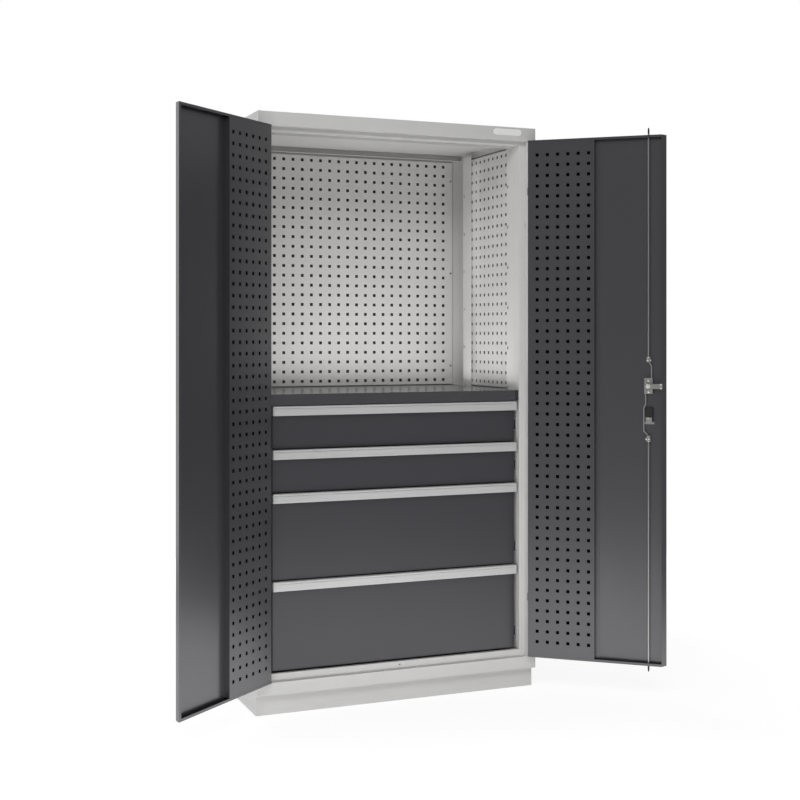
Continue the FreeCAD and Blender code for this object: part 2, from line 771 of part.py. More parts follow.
def door_perforated_panel():
    s0 = DOOR_PANEL_EDGE
    s1 = DOOR_W - DOOR_PANEL_FREE
    z0 = Z_DOOR_0 + DOOR_LIP + DOOR_PANEL_FIT
    z1 = Z_DOOR_1 - DOOR_LIP - DOOR_PANEL_FIT
    t0 = DOOR_D - SHEET
    spots = [((s, z), HOLE)
             for s in stepped(s1 - DOOR_COL_FOLD, s0 + DOOR_COL_MARGIN, PITCH)
             for z in stepped(z1 - DOOR_ROW_TOP, z0 + DOOR_ROW_MARGIN, PITCH)]
    face = holed_sheet(s0, s1, z0, z1, lambda u, w: V(X_DOOR - u, Y_FRONT + t0, w), V(0, SHEET, 0), spots)
    return join([
        face,
        door_box(s1 - SHEET, s1, SHEET, t0, z0, z1),
        door_box(s1 - SHEET, s1 + DOOR_PANEL_FOOT, SHEET, 2 * SHEET, z0, z1),
    ])


def frame_hinge_leaf(z):
    z0 = z - HINGE_H / 2
    knuckle_h = HINGE_H / 2 - HINGE_SPLIT
    y0 = Y_FRONT + SHEET
    knuckle = post(HINGE_X, HINGE_Y, HINGE_R, z0, z0 + knuckle_h)
    leaf = box(HINGE_X, X_LIP + FRAME_LEAF_W, y0, y0 + HINGE_LEAF, z0, z0 + knuckle_h)
    pin = post(HINGE_X, HINGE_Y, HINGE_PIN_R, z0, z0 + HINGE_H - HINGE_LEAF)
    return join([knuckle, leaf, pin])


def hinge_frame_leaves():
    solids = []
    for z in HINGE_LEVELS:
        solids += both_sides(frame_hinge_leaf(z))
    return Part.makeCompound(solids)


def door_hinge_leaf(z):
    z1 = z + HINGE_H / 2
    knuckle = post(HINGE_X, HINGE_Y, HINGE_R, z, z1)
    leaf = door_box(SHEET, SHEET + HINGE_LEAF, -SHEET, DOOR_LEAF_W, z, z1)
    bore = post(HINGE_X, HINGE_Y, HINGE_PIN_R + HINGE_RUN, z - OVERRUN, z1 - HINGE_LEAF + HINGE_SPLIT)
    return join([knuckle, leaf]).cut(bore)


def door_hinge_leaves():
    return Part.makeCompound([door_hinge_leaf(z) for z in HINGE_LEVELS])


def bolt_rod(z_end, z_tip):
    """Round rod with a blunt point at z_tip; it may point up or down."""
    way = math.copysign(1, z_tip - z_end)
    z_neck = z_tip - way * ROD_POINT
    shank = Part.makeCylinder(ROD_R, abs(z_neck - z_end), V(X_ROD, Y_ROD, z_end), V(0, 0, way))
    tip = Part.makeCone(ROD_R, ROD_POINT_R, ROD_POINT, V(X_ROD, Y_ROD, z_neck), V(0, 0, way))
    return join([shank, tip])


def strip(points):
    """Flat bent strip through points (s, z) of the closed right door."""
    pieces = []
    half = LINK_W / 2
    for (s0, z0), (s1, z1) in zip(points, points[1:]):
        length = math.hypot(s1 - s0, z1 - z0)
        ns = (z1 - z0) / length * half
        nz = (s0 - s1) / length * half
        corners = [(s0 - ns, z0 - nz), (s1 - ns, z1 - nz), (s1 + ns, z1 + nz), (s0 + ns, z0 + nz)]
        flat = [V(X_DOOR - s, Y_FRONT + LINK_T0, z) for s, z in corners]
        pieces.append(prism(flat, V(0, LINK_T1 - LINK_T0, 0)))
        pieces.append(door_rod(s1, z1, half, LINK_T0, LINK_T1))
    return join(pieces)


def rod_clip(z0, z1, s_mid):
    half = CLIP_W / 2
    return door_box(s_mid - half, s_mid + half, CLIP_T0, CLIP_T1, z0, z1)


def upper_clip_levels():
    z0 = LOCK_Z + UPPER_CLIP_RISE
    return z0, z0 + UPPER_CLIP_H


def lower_clip_levels():
    z1 = LOCK_Z - LOWER_CLIP_DROP
    return z1 - LOWER_CLIP_H, z1


def upper_rod():
    return bolt_rod(upper_clip_levels()[0] + LINK_W, Z_CAP + UPPER_THROW)


def lower_rod():
    return bolt_rod(lower_clip_levels()[1] - LINK_W, Z_FLOOR - LOWER_THROW)


def upper_link():
    z0, z1 = upper_clip_levels()
    s_out = ROD_IN + UPPER_LINK_OUT
    path = [(ROD_IN, z0 + LINK_W / 2), (s_out, LOCK_Z + UPPER_LINK_BEND), (s_out, LOCK_Z + UPPER_LINK_END)]
    bore = post(X_ROD, Y_ROD, ROD_R + ROD_RUN, z0 + LINK_W, z1 + OVERRUN)
    return join([rod_clip(z0, z1, ROD_IN), strip(path)]).cut(bore)


def lower_link():
    z0, z1 = lower_clip_levels()
    s_near = ROD_IN - LOWER_LINK_IN
    s_far = ROD_IN - LOWER_LINK_FAR
    s_end = ROD_IN - LOWER_LINK_OFF
    path = [
        (ROD_IN, z1 - LINK_W / 2), (s_end, LOCK_Z - LOWER_LINK_BEND_4), (s_far, LOCK_Z - LOWER_LINK_BEND_3),
        (s_far, LOCK_Z - LOWER_LINK_BEND_2), (s_near, LOCK_Z - LOWER_LINK_BEND_1),
        (s_near, LOCK_Z - LOWER_LINK_END),
    ]
    bore = post(X_ROD, Y_ROD, ROD_R + ROD_RUN, z0 - OVERRUN, z1 - LINK_W)
    return join([rod_clip(z0, z1, ROD_IN), strip(path)]).cut(bore)


def rod_guides():
    z_low = Z_DOOR_0 + SHEET
    z_high = Z_DOOR_1 - SHEET
    solids = []
    for z0, z1 in ((z_low, z_low + GUIDE_H), (z_high - GUIDE_H, z_high)):
        bore = post(X_ROD, Y_ROD, ROD_R + ROD_RUN, z0 - OVERRUN, z1 + OVERRUN)
        solids.append(post(X_ROD, Y_ROD, GUIDE_R, z0, z1).cut(bore))
    return Part.makeCompound(solids)


def crank_arm(way):
    angle = math.radians(CRANK_DEG)
    s1 = ROD_IN + way * CRANK_R * math.cos(angle)
    z1 = LOCK_Z + way * CRANK_R * math.sin(angle)
    half = CRANK_W / 2
    ns = half * math.sin(angle)
    nz = half * math.cos(angle)
    corners = [
        (ROD_IN - ns, LOCK_Z + nz), (s1 - ns, z1 + nz),
        (s1 + ns, z1 - nz), (ROD_IN + ns, LOCK_Z - nz),
    ]
    flat = [V(X_DOOR - s, Y_FRONT + CRANK_T0, z) for s, z in corners]
    return [
        prism(flat, V(0, CRANK_T1 - CRANK_T0, 0)),
        door_rod(s1, z1, half, CRANK_T0, CRANK_T1),
        door_rod(s1, z1, CRANK_PIN_R, CRANK_T0, LINK_T0 - CRANK_PIN_GAP),
    ]


def lock_spindle():
    half = YOKE_W / 2
    t0 = -YOKE_TOP
    t1 = -PLATE_T - YOKE_GAP
    yoke = door_box(ROD_IN - half, ROD_IN + half, t0, t1, LOCK_Z - YOKE_FALL, LOCK_Z + YOKE_RISE)
    pin = Part.makeCylinder(PIVOT_R, LEVER_W, lever_pivot(), V(1, 0, 0))
    shaft = door_rod(ROD_IN, LOCK_Z, SPINDLE_R, t1, SPINDLE_END)
    return join([shaft, yoke, pin] + crank_arm(1) + crank_arm(-1))


def lever_pivot():
    x0 = X_ROD - LEVER_W / 2
    return V(x0, Y_FRONT - PIVOT_OUT, LOCK_Z + PIVOT_RISE)


def latch_tongue():
    root = TONGUE_ROOT_W / 2
    tip = TONGUE_TIP_W / 2
    corners = [
        (ROD_IN - TONGUE_BACK, LOCK_Z - root), (ROD_IN - TONGUE_BACK, LOCK_Z + root),
        (ROD_IN + TONGUE_L, LOCK_Z + tip), (ROD_IN + TONGUE_L, LOCK_Z - tip),
    ]
    flat = [V(X_DOOR - s, Y_FRONT + SPINDLE_END, z) for s, z in corners]
    return prism(flat, V(0, TONGUE_T, 0))


def housing_notch(s_mid, z0, z1):
    s0 = s_mid - HOUSING_LINK_GAP
    s1 = s_mid + HOUSING_LINK_GAP
    return door_box(s0, s1, 2 * SHEET, HOUSING_TOP - SHEET, z0 - OVERRUN, z1 + OVERRUN)


def lock_screw_spots():
    return [(ROD_IN, LOCK_Z + LOCK_SCREW_RISE), (ROD_IN, LOCK_Z - LOCK_SCREW_FALL)]


def latch_housing():
    s0 = ROD_IN - HOUSING_W / 2
    s1 = ROD_IN + HOUSING_W / 2
    z0 = LOCK_Z - HOUSING_FALL
    z1 = LOCK_Z + HOUSING_RISE
    shape = door_box(s0, s1, SHEET, HOUSING_TOP, z0, z1)
    shape = shape.cut(door_box(s0 - OVERRUN, s1 + OVERRUN, 0, HOUSING_TOP - SHEET, z0 + SHEET, z1 - SHEET))
    cuts = [
        housing_notch(ROD_IN + UPPER_LINK_OUT, z1 - SHEET, z1),
        housing_notch(ROD_IN - LOWER_LINK_IN, z0, z0 + SHEET),
        door_rod(ROD_IN, LOCK_Z, SPINDLE_R + SPINDLE_RUN, 0, HOUSING_TOP + OVERRUN),
    ]
    cuts += [door_rod(s, z, LOCK_SHANK_R + LOCK_SCREW_FIT, SHEET, HOUSING_TOP + OVERRUN)
             for s, z in lock_screw_spots()]
    return shape.cut(Part.makeCompound(cuts))


def lock_screws():
    solids = []
    for s, z in lock_screw_spots():
        head = door_rod(s, z, LOCK_SCREW_R, HOUSING_TOP, HOUSING_TOP + LOCK_SCREW_H)
        shank = door_rod(s, z, LOCK_SHANK_R, SHEET, HOUSING_TOP)
        solids.append(join([head, shank]))
    return Part.makeCompound(solids)


def cylinder_housing():
    s0 = KEY_IN - CYL_W / 2
    half = CYL_H / 2
    block = door_box(s0, s0 + CYL_W, SHEET, CYL_TOP, KEY_Z - half, KEY_Z + half)
    return block.cut(door_rod(KEY_IN, KEY_Z, KEY_R + KEY_RUN, SHEET - OVERRUN, KEY_END + KEY_RUN))


def cylinder_clamp():
    """Strap over the housing's lower end with a foot strip on the door skin."""
    half = CLAMP_W / 2
    z0 = KEY_Z - CYL_H / 2
    foot = CYL_BASE_W / 2
    s_foot = KEY_IN + CYL_BASE_SHIFT
    top = CYL_TOP + CLAMP_T
    return join([
        door_box(KEY_IN - half, KEY_IN + half, CYL_TOP, top, z0 - CLAMP_T, z0 + CLAMP_RISE),
        door_box(KEY_IN - half, KEY_IN + half, SHEET, top, z0 - CLAMP_T, z0),
        door_box(s_foot - foot, s_foot + foot, SHEET, SHEET + CYL_BASE_T, z0 - CYL_BASE_H, z0),
    ])


def handle_plate():
    half = PLATE_W / 2
    z0 = LOCK_Z - PLATE_DROP
    z1 = LOCK_Z + PLATE_RISE
    plate = door_box(ROD_IN - half, ROD_IN + half, -PLATE_T, 0, z0, z1)
    corners = [e for e in plate.Edges if e.BoundBox.YLength > PLATE_T - SHEET]
    plate = plate.makeFillet(PLATE_CORNER_R, corners)
    spindle = door_rod(ROD_IN, LOCK_Z, SPINDLE_R + SPINDLE_RUN, -PLATE_T - OVERRUN, OVERRUN)
    key = door_rod(KEY_IN, KEY_Z, KEY_R + KEY_RUN, -PLATE_T - OVERRUN, OVERRUN)
    return plate.cut(spindle).cut(key)


def swing_lever():
    half = LEVER_W / 2
    z_pivot = LOCK_Z + PIVOT_RISE
    z1 = z_pivot + LEVER_ABOVE
    z0 = z1 - LEVER_L
    y0 = Y_FRONT - LEVER_OUT
    y1 = Y_FRONT - LEVER_IN
    c = LEVER_CHAMFER
    side = [
        (y0, z0 + c), (y0, z1 - c), (y0 + c, z1), (y1 - c, z1),
        (y1, z1 - c), (y1, z0 + c), (y1 - c, z0), (y0 + c, z0),
    ]
    outer = prism([V(X_ROD - half, y, z) for y, z in side], V(LEVER_W, 0, 0))
    inner = half - LEVER_WALL
    hollow = box(X_ROD - inner, X_ROD + inner, y0 + LEVER_ROOF, y1 + OVERRUN, z0 + LEVER_WALL, z1 + OVERRUN)
    start = lever_pivot() - V(OVERRUN, 0, 0)
    bore = Part.makeCylinder(PIVOT_R + PIVOT_RUN, LEVER_W + 2 * OVERRUN, start, V(1, 0, 0))
    return outer.cut(hollow).cut(bore)


def key_plug():
    head_0 = -PLATE_T - KEY_HEAD_GAP - KEY_HEAD_H
    head = door_rod(KEY_IN, KEY_Z, KEY_HEAD_R, head_0, -PLATE_T - KEY_HEAD_GAP)
    barrel = door_rod(KEY_IN, KEY_Z, KEY_R, head_0, KEY_END)
    w = KEYWAY_W / 2
    keyway = door_box(KEY_IN - w, KEY_IN + w, head_0 - OVERRUN, head_0 + KEYWAY_D,
                      KEY_Z - KEYWAY_L / 2, KEY_Z + KEYWAY_L / 2)
    return join([head, barrel]).cut(keyway)


def cabinet_nodes():
    wall = side_wall()
    front = front_post()
    rear = rear_post()
    side_panel = side_perforated_panel()
    return {
        "plinth": plinth(),
        "bottom_pan": bottom_pan(),
        "top_cap": top_cap(),
        "ceiling_panel": ceiling_panel(),
        "right_side_wall": wall,
        "left_side_wall": mirrored(wall),
        "back_wall": back_wall(),
        "right_front_post": front,
        "left_front_post": mirrored(front),
        "right_rear_post": rear,
        "left_rear_post": mirrored(rear),
        "top_front_rail": top_front_rail(),
        "bottom_front_rail": bottom_front_rail(),
        "back_perforated_panel": back_perforated_panel(),
        "right_perforated_panel": side_panel,
        "left_perforated_panel": mirrored(side_panel),
        "panel_screws": panel_screws(),
        "worktop": worktop(),
        "fixed_slide_rails": Part.makeCompound([r for z0, z1 in drawer_levels() for r in fixed_rails(z0)]),
        "hinge_frame_leaves": hinge_frame_leaves(),
    }


def door_nodes():
    panel = door_perforated_panel()
    leaves = door_hinge_leaves()
    return {
        "left_door_skin": open_left(left_skin()),
        "left_door_panel": open_left(panel),
        "left_door_hinge_leaves": open_left(leaves),
        "right_door_skin": open_right(right_skin().cut(Part.makeCompound(lock_holes()))),
        "right_door_panel": open_right(panel),
        "right_door_hinge_leaves": open_right(leaves),
    }


def lock_nodes():
    closed = {
        "handle_plate": handle_plate(),
        "latch_housing": latch_housing(),
        "lock_screws": lock_screws(),
        "cylinder_housing": cylinder_housing(),
        "cylinder_clamp": cylinder_clamp(),
        "rod_guides": rod_guides(),
        "lock_spindle": lock_spindle(),
        "latch_tongue": latch_tongue(),
        "swing_lever": swing_lever(),
        "key_plug": key_plug(),
        "upper_rod": upper_rod(),
        "upper_link": upper_link(),
        "lower_rod": lower_rod(),
        "lower_link": lower_link(),
    }
    return {name: open_right(shape) for name, shape in closed.items()}


def drawer_nodes():
    nodes = {}
    for number, (z0, z1) in enumerate(drawer_levels(), start=1):
        name = "drawer_%d" % number
        nodes[name + "_front"] = drawer_front(z0, z1)
        nodes[name + "_box"] = drawer_box(z0, z1)
        nodes[name + "_handle"] = drawer_handle(z1)
        nodes[name + "_inner_rails"] = Part.makeCompound(inner_rails(z0))
        nodes[name + "_mid_rails"] = Part.makeCompound(mid_rails(z0))
    return nodes


for group in (cabinet_nodes(), door_nodes(), lock_nodes(), drawer_nodes()):
    for name, shape in group.items():
        shape.exportStep("parts/%s.step" % name)
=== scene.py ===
import json
import math

import bmesh
import bpy
from mathutils import Matrix, Vector


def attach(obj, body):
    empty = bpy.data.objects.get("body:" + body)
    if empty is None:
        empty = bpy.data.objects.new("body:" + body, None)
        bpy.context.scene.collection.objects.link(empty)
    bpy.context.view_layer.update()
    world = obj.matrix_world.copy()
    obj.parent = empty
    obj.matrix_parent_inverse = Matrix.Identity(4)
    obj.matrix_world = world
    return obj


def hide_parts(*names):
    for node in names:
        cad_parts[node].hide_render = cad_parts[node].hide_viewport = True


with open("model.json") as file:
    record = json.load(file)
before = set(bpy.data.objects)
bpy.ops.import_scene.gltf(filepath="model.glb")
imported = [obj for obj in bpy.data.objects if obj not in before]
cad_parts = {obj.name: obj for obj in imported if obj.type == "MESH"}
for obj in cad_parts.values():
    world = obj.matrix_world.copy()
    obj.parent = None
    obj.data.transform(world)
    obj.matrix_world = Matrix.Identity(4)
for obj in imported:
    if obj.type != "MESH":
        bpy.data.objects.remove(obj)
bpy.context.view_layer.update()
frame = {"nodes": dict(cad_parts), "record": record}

# Tall workshop cabinet with two open doors and four drawers. Metres, front towards -Y.

nodes = frame["nodes"]
bodies = frame["record"]["behaviour"]["bodies"]
body_of_node = {node: body for body, members in bodies.items() for node in members}

# Sheet metal: thickness, bends, and which edges and faces count as folds, flats and facing a way
SHEET = 0.0012
BEND = 0.0016
BEND_STEPS = 3
BEND_PROFILE = 0.5
PANEL_BEND = 0.0022
PANEL_BEND_STEPS = 4
FOLD_MIN = 0.004
FOLD_ANGLE = math.radians(25)
FLAT_ANGLE = math.radians(1)
SHARP_ANGLE = math.radians(40)
FACES_WAY = 0.9
MERGE = 0.00001

# Cabinet front, door edge and thickness, hinge axis, and the doors' opening in the photograph
Y_FRONT = -0.300
X_DOOR = 0.4705
DOOR_D = 0.021
HINGE_X = 0.4726
HINGE_Y = -0.302
RIGHT_OPEN = math.radians(139.4)
LEFT_OPEN = math.radians(-140.0)

# Square perforation: pitch, hole and the rounding of its corners
PITCH = 0.0357
HOLE = 0.0110
HOLE_CORNER = 0.0007
HOLE_CORNER_STEPS = 2

# Back, side and door panels: size, holes, flange depth, and how far the grid is off the middle
BACK_PANEL = dict(width=0.900, height=0.857, columns=24, rows=24, flange=0.0086, shift=(0, 0, 0))
SIDE_PANEL = dict(width=0.350, height=0.857, columns=10, rows=24, flange=0.0188, shift=(0, 0, 0))
DOOR_PANEL = dict(width=0.2282, height=1.7667, columns=6, rows=48, shift=(0.00485, 0.00165, 0))
PANEL_Z = 1.4635
BACK_PANEL_Y = 0.289
SIDE_PANEL_X = 0.4788
SIDE_PANEL_Y = 0.0113
DOOR_PANEL_S = 0.1172
DOOR_PANEL_Z = 1.00565
DOOR_PANEL_EDGE = 0.2313
DOOR_PANEL_FOOT = 0.015

# Painted shade on the walls behind the panels: a dark grey coat stands in for the shade seen
# through the holes
SIDE_SHADE_Y = (-0.285, 0.285)
BACK_SHADE_X = (-0.445, 0.445)
SHADE_HALF_H = 0.424
SHADE_Z = (PANEL_Z - SHADE_HALF_H, PANEL_Z + SHADE_HALF_H)

# Screws; SCREW_TOP is a share of the head's width, and SCREW_EDGE, SCREW_CROWN and CROSS_AT are
# shares of its height
SCREW_HEAD_R = 0.004
SCREW_HEAD_H = 0.0022
SCREW_TOP = 0.62
SCREW_EDGE = 0.55
SCREW_CROWN = 0.45
CROSS_AT = 0.725
CROSS_L = 0.0046
CROSS_W = 0.0011
CROSS_D = 0.0012
QUARTER_TURN = math.tau / 4
BACK_SCREW_X = 0.441
SIDE_SCREW_Y = (-0.1547, 0.1773)
SCREW_Z = (1.107, 1.4635, 1.820)
PANEL_SCREW_SEED = 3
LOCK_SCREW_SPOTS = ((0.4130, 1.0716), (0.4130, 1.0339))
LOCK_SCREW_T = 0.0145
LOCK_SCREW_R = 0.0032
LOCK_SCREW_SEED = 5

# Drawer handles: an extruded section with an end cap on each side
HANDLE_TOPS = {"drawer_1": 0.9945, "drawer_2": 0.8525, "drawer_3": 0.7105, "drawer_4": 0.4255}
HANDLE_HALF = 0.440
HANDLE_H = 0.031
HANDLE_Y = -0.274
HANDLE_BACK_Y = -0.257
HANDLE_ROUND = 0.003
HANDLE_ROUND_STEPS = 5
HANDLE_EDGE = 0.0012
HANDLE_EDGE_STEPS = 3
HANDLE_WALL = 0.0025
HANDLE_ROOF = 0.010
HANDLE_BACK_RISE = 0.004
HANDLE_CAP_W = 0.006
CAP_CORNER = 0.0045
CAP_CORNER_STEPS = 5
CAP_RIM = 0.0012

# Grooves in the handle's face: depth, height, and the drop from the handle's top
GROOVES = ((0.0020, 0.0022, 0.0066), (0.0004, 0.0005, 0.0235))
GROOVE_TAPER = 0.2

# Half widths of the drawer fronts, as photographed and as solids
FRONT_HALF = 0.4385
SOLID_FRONT_HALF = 0.436

# Lock on the right door: s from the hinge edge, t in from the outer face
ROD_S = 0.4130
ROD_T = 0.010
LOCK_Z = 1.0531
TONGUE_T = 0.0246
TONGUE_END = 0.0477
TONGUE_EAR = 0.0062
EAR_R = 0.0031
EAR_H = 0.0022
EAR_INSET = 0.0045
NUT_FLAT = 0.0056
NUT_H = 0.0034
NUT_SIDES = 6
NUT_TURN = 0.3
NUT_EDGE = 0.8
NUT_TOP = 0.86
CLAMP_SCREW_T = 0.0200
CLAMP_SCREW_Z = 0.9454
CLAMP_SCREW_R = 0.0030

# Turned parts of the lock, as (radius, height) pairs
WASHER = ((0.0078, 0), (0.0078, 0.0006), (0.0074, 0.0009))
SPINDLE_END = ((0.0032, 0), (0.0032, NUT_H + 0.0012), (0.0024, NUT_H + 0.0020))
CLAMP_SCREW = ((CLAMP_SCREW_R, 0), (CLAMP_SCREW_R, 0.0012), (CLAMP_SCREW_R * 0.8, 0.0020))

# Steps round turned parts, and the rise of a domed head in degrees
HEAD_STEPS = 20
SPINDLE_STEPS = 18
ROUND_STEPS = 24
DOME_RISE = (0, 20, 40, 58, 74, 86)

# Screws of the rods' clips: share of WING_R, height, and their place off (ROD_S, CLIP_T, clip's Z)
CLIP_T = 0.0148
WING_R = 0.0034
UPPER_CLIP_Z = 1.1406
UPPER_CLIP = (
    (1.0, 0.0034, -0.0028, 0.0, 0.0),
    (0.9, 0.0032, 0.0066, -0.004, 0.0),
    (0.75, 0.0030, 0.0, 0.0, 0.0088),
)
LOWER_CLIP_Z = 0.8746
LOWER_CLIP = (
    (1.05, 0.0036, -0.0078, -0.004, 0.0),
    (0.9, 0.0028, 0.0012, 0.0, 0.0010),
    (0.6, 0.0026, 0.0, 0.0, -0.0070),
)

# Ends of the rods
ROD_TIP_R = 0.00306
ROD_POINT_R = 0.0016
ROD_POINT = 0.007
ROD_TIP_H = 0.020
UPPER_TIP_Z = 1.9231
LOWER_TIP_Z = 0.0925

# Blank plate on the top cap
PLATE_AT = (0.391, 1.9258)
PLATE_W = 0.108
PLATE_H = 0.0218
PLATE_D = 0.0008
PLATE_STEPS = 12

# Finishes: noise (scale, detail), shares of tone, spread of roughness, relief (strength, distance)
NOISE_SPAN = (0.3, 0.7)
PAINT_CLOUD = (3.5, 4.0)
PAINT_GLOSS = (25.0, 3.0)
PAINT_PEEL = (700.0, 2.0)
PAINT_TONES = (0.985, 1.015)
PAINT_SPREAD = 0.012
PAINT_RELIEF = (0.02, 0.0001)
COAT_IOR = 1.5
DARK_COAT_IOR = 1.72
METAL_DETAIL = 3.0
METAL_TONES = (0.93, 1.05)
METAL_SPREAD = (-0.05, 0.07)
METAL_RELIEF = (0.06, 0.0002)
PLASTIC_CLOUD = (40.0, 3.0)
PLASTIC_GRAIN = (1600.0, 2.0)
PLASTIC_TONES = (0.9, 1.12)
PLASTIC_SPREAD = 0.05
PLASTIC_RELIEF = (0.15, 0.0002)

# Studio floor and room; lift and mirror: from, to, and the value at each of these
FLOOR_R = 3.6
FLOOR_SIDES = 96
FLOOR_AT = (0.0, -0.8, -0.0005)
FLOOR_TONE = 0.85
FLOOR_TONES = (1.0, 1.01)
FLOOR_CLOUD = (2.0, 2.0)
FLOOR_ROUGHNESS = 0.9
FLOOR_WHITE = 1.15
FLOOR_LIFT = (1.2, 2.6, 0.75, 1.0)
FLOOR_MIRROR = (1.5, 3.4, 1.0, 0.12)
ROOM_LIGHT = 0.06
ROOM_MIRROR = (0.1, 0.6, 0.22, 1.0)

# Lamps: name, place, aim, size and power
SOFTBOXES = [
    ("left_softbox", (-4.2, -1.6, 2.6), (0, 0, 1.0), (2.6, 2.6), 46.0),
    ("low_left_softbox", (-3.2, -2.4, 0.6), (0, 0, 1.0), (1.6, 1.0), 14.0),
    ("high_softbox", (-1.4, -4.0, 3.9), (0, 0, 0.9), (3.0, 2.0), 95.0),
    ("front_softbox", (-1.7, -5.4, 1.4), (0, 0, 0.9), (2.6, 2.2), 8.0),
    ("floor_bounce", (0.0, -1.3, 0.03), (0, -1.3, 2.0), (2.4, 1.4), 8.0),
    ("base_side_softbox", (-2.2, 0.4, 0.5), (-0.5, 0.1, 0.1), (0.8, 0.6), 8.0),
    ("back_softbox", (-1.0, 3.8, 2.2), (0, 0.3, 1.0), (2.8, 2.6), 55.0),
    ("right_softbox", (4.2, 1.0, 2.2), (0.5, 0.1, 1.0), (2.4, 2.4), 40.0),
    ("top_softbox", (0.0, 0.6, 4.4), (0, 0.1, 1.9), (2.0, 1.6), 30.0),
    ("low_front_softbox", (-0.2, -1.35, 0.12), (0, -0.23, 0.06), (1.7, 0.15), 4.6),
    ("pocket_fill", (0.4516, 0.148, 1.4635), (0.4788, 0.148, 1.4635), (0.055, 0.84), 0.08),
    ("inside_fill", (0.0, -0.02, 1.05), (0, -0.02, 1.9), (0.84, 0.42), 2.2),
]

# Camera, from the photograph's perforation grids
CAMERA_AT = (-1.6694, -4.3859, 1.2295)
CAMERA_TURN = math.radians(-22.463)
CAMERA_LEVEL = math.radians(90)
CAMERA_SENSOR = 36
CAMERA_LENS = 59.5
CAMERA_SHIFT = (-0.0101, -0.0827)


# Node values, for materials, geometry trees and the room
def feed(tree, socket, value):
    """Gives a socket another node's value, or a value of its own."""
    if isinstance(value, bpy.types.NodeSocket):
        tree.links.new(value, socket)
    else:
        socket.default_value = value


def maths(tree, operation, a, b):
    node = tree.nodes.new("ShaderNodeMath")
    node.operation = operation
    feed(tree, node.inputs[0], a)
    feed(tree, node.inputs[1], b)
    return node.outputs[0]


def mapped(tree, value, start, end, low, high, easing="LINEAR"):
    """Value moved from one range to another."""
    node = tree.nodes.new("ShaderNodeMapRange")
    node.interpolation_type = easing
    labels = ("From Min", "From Max", "To Min", "To Max")
    for label, number in zip(labels, (start, end, low, high)):
        node.inputs[label].default_value = number
    tree.links.new(value, node.inputs["Value"])
    return node.outputs["Result"]


def blended(tree, share, low, high):
    """Value between low and high; each may be a number or another node's value."""
    node = tree.nodes.new("ShaderNodeMix")
    factor, _, first, second = node.inputs[:4]
    for socket, value in ((factor, share), (first, low), (second, high)):
        feed(tree, socket, value)
    return node.outputs[0]


# Finishes
def finish(name):
    """New node material and its shader, with surface coordinates ready."""
    material = bpy.data.materials.new(name)
    material.use_nodes = True
    tree = material.node_tree
    shader = tree.nodes["Principled BSDF"]
    place = tree.nodes.new("ShaderNodeTexCoord")
    return material, tree, shader, place.outputs["Object"]


def noise(tree, place, scale, detail, stretch=None):
    """Noise on the surface, stretched along an axis where the finish has a grain."""
    node = tree.nodes.new("ShaderNodeTexNoise")
    node.inputs["Scale"].default_value = scale
    node.inputs["Detail"].default_value = detail
    if stretch:
        mapping = tree.nodes.new("ShaderNodeMapping")
        mapping.inputs["Scale"].default_value = stretch
        tree.links.new(place, mapping.inputs["Vector"])
        place = mapping.outputs["Vector"]
    tree.links.new(place, node.inputs["Vector"])
    return node.outputs["Fac"]


def toned(tree, shader, value, colour, shares):
    """Base colour that drifts between two shares of one colour."""
    node = tree.nodes.new("ShaderNodeValToRGB")
    for mark, position, share in zip(node.color_ramp.elements, NOISE_SPAN, shares):
        mark.position = position
        mark.color = (*(part * share for part in colour), 1.0)
    tree.links.new(value, node.inputs["Fac"])
    tree.links.new(node.outputs["Color"], shader.inputs["Base Color"])


def glossed(tree, shader, value, low, high):
    """Roughness that drifts between two values."""
    gloss = mapped(tree, value, *NOISE_SPAN, low, high)
    tree.links.new(gloss, shader.inputs["Roughness"])


def relief(tree, shader, height, strength, distance):
    node = tree.nodes.new("ShaderNodeBump")
    node.inputs["Strength"].default_value = strength
    node.inputs["Distance"].default_value = distance
    tree.links.new(height, node.inputs["Height"])
    tree.links.new(node.outputs["Normal"], shader.inputs["Normal"])


def powder_coat(name, colour, roughness, specular, ior=COAT_IOR):
    """Sprayed powder paint: fine orange peel, faint unevenness of tone and gloss."""
    material, tree, shader, place = finish(name)
    toned(tree, shader, noise(tree, place, *PAINT_CLOUD), colour, PAINT_TONES)
    uneven = noise(tree, place, *PAINT_GLOSS)
    glossed(tree, shader, uneven, roughness - PAINT_SPREAD, roughness + PAINT_SPREAD)
    shader.inputs["Specular IOR Level"].default_value = specular
    shader.inputs["IOR"].default_value = ior
    relief(tree, shader, noise(tree, place, *PAINT_PEEL), *PAINT_RELIEF)
    return material


def drawn_metal(name, colour, roughness, metallic, grain, stretch):
    """Bare or anodised metal with fine drawing lines along its length."""
    material, tree, shader, place = finish(name)
    lines = noise(tree, place, grain, METAL_DETAIL, stretch)
    toned(tree, shader, lines, colour, METAL_TONES)
    glossed(tree, shader, lines, *(roughness + change for change in METAL_SPREAD))
    shader.inputs["Metallic"].default_value = metallic
    relief(tree, shader, lines, *METAL_RELIEF)
    return material


def moulded_plastic(name, colour, roughness):
    """Dull plastic with a fine moulded grain."""
    material, tree, shader, place = finish(name)
    cloud = noise(tree, place, *PLASTIC_CLOUD)
    toned(tree, shader, cloud, colour, PLASTIC_TONES)
    glossed(tree, shader, cloud, roughness - PLASTIC_SPREAD, roughness + PLASTIC_SPREAD)
    relief(tree, shader, noise(tree, place, *PLASTIC_GRAIN), *PLASTIC_RELIEF)
    return material


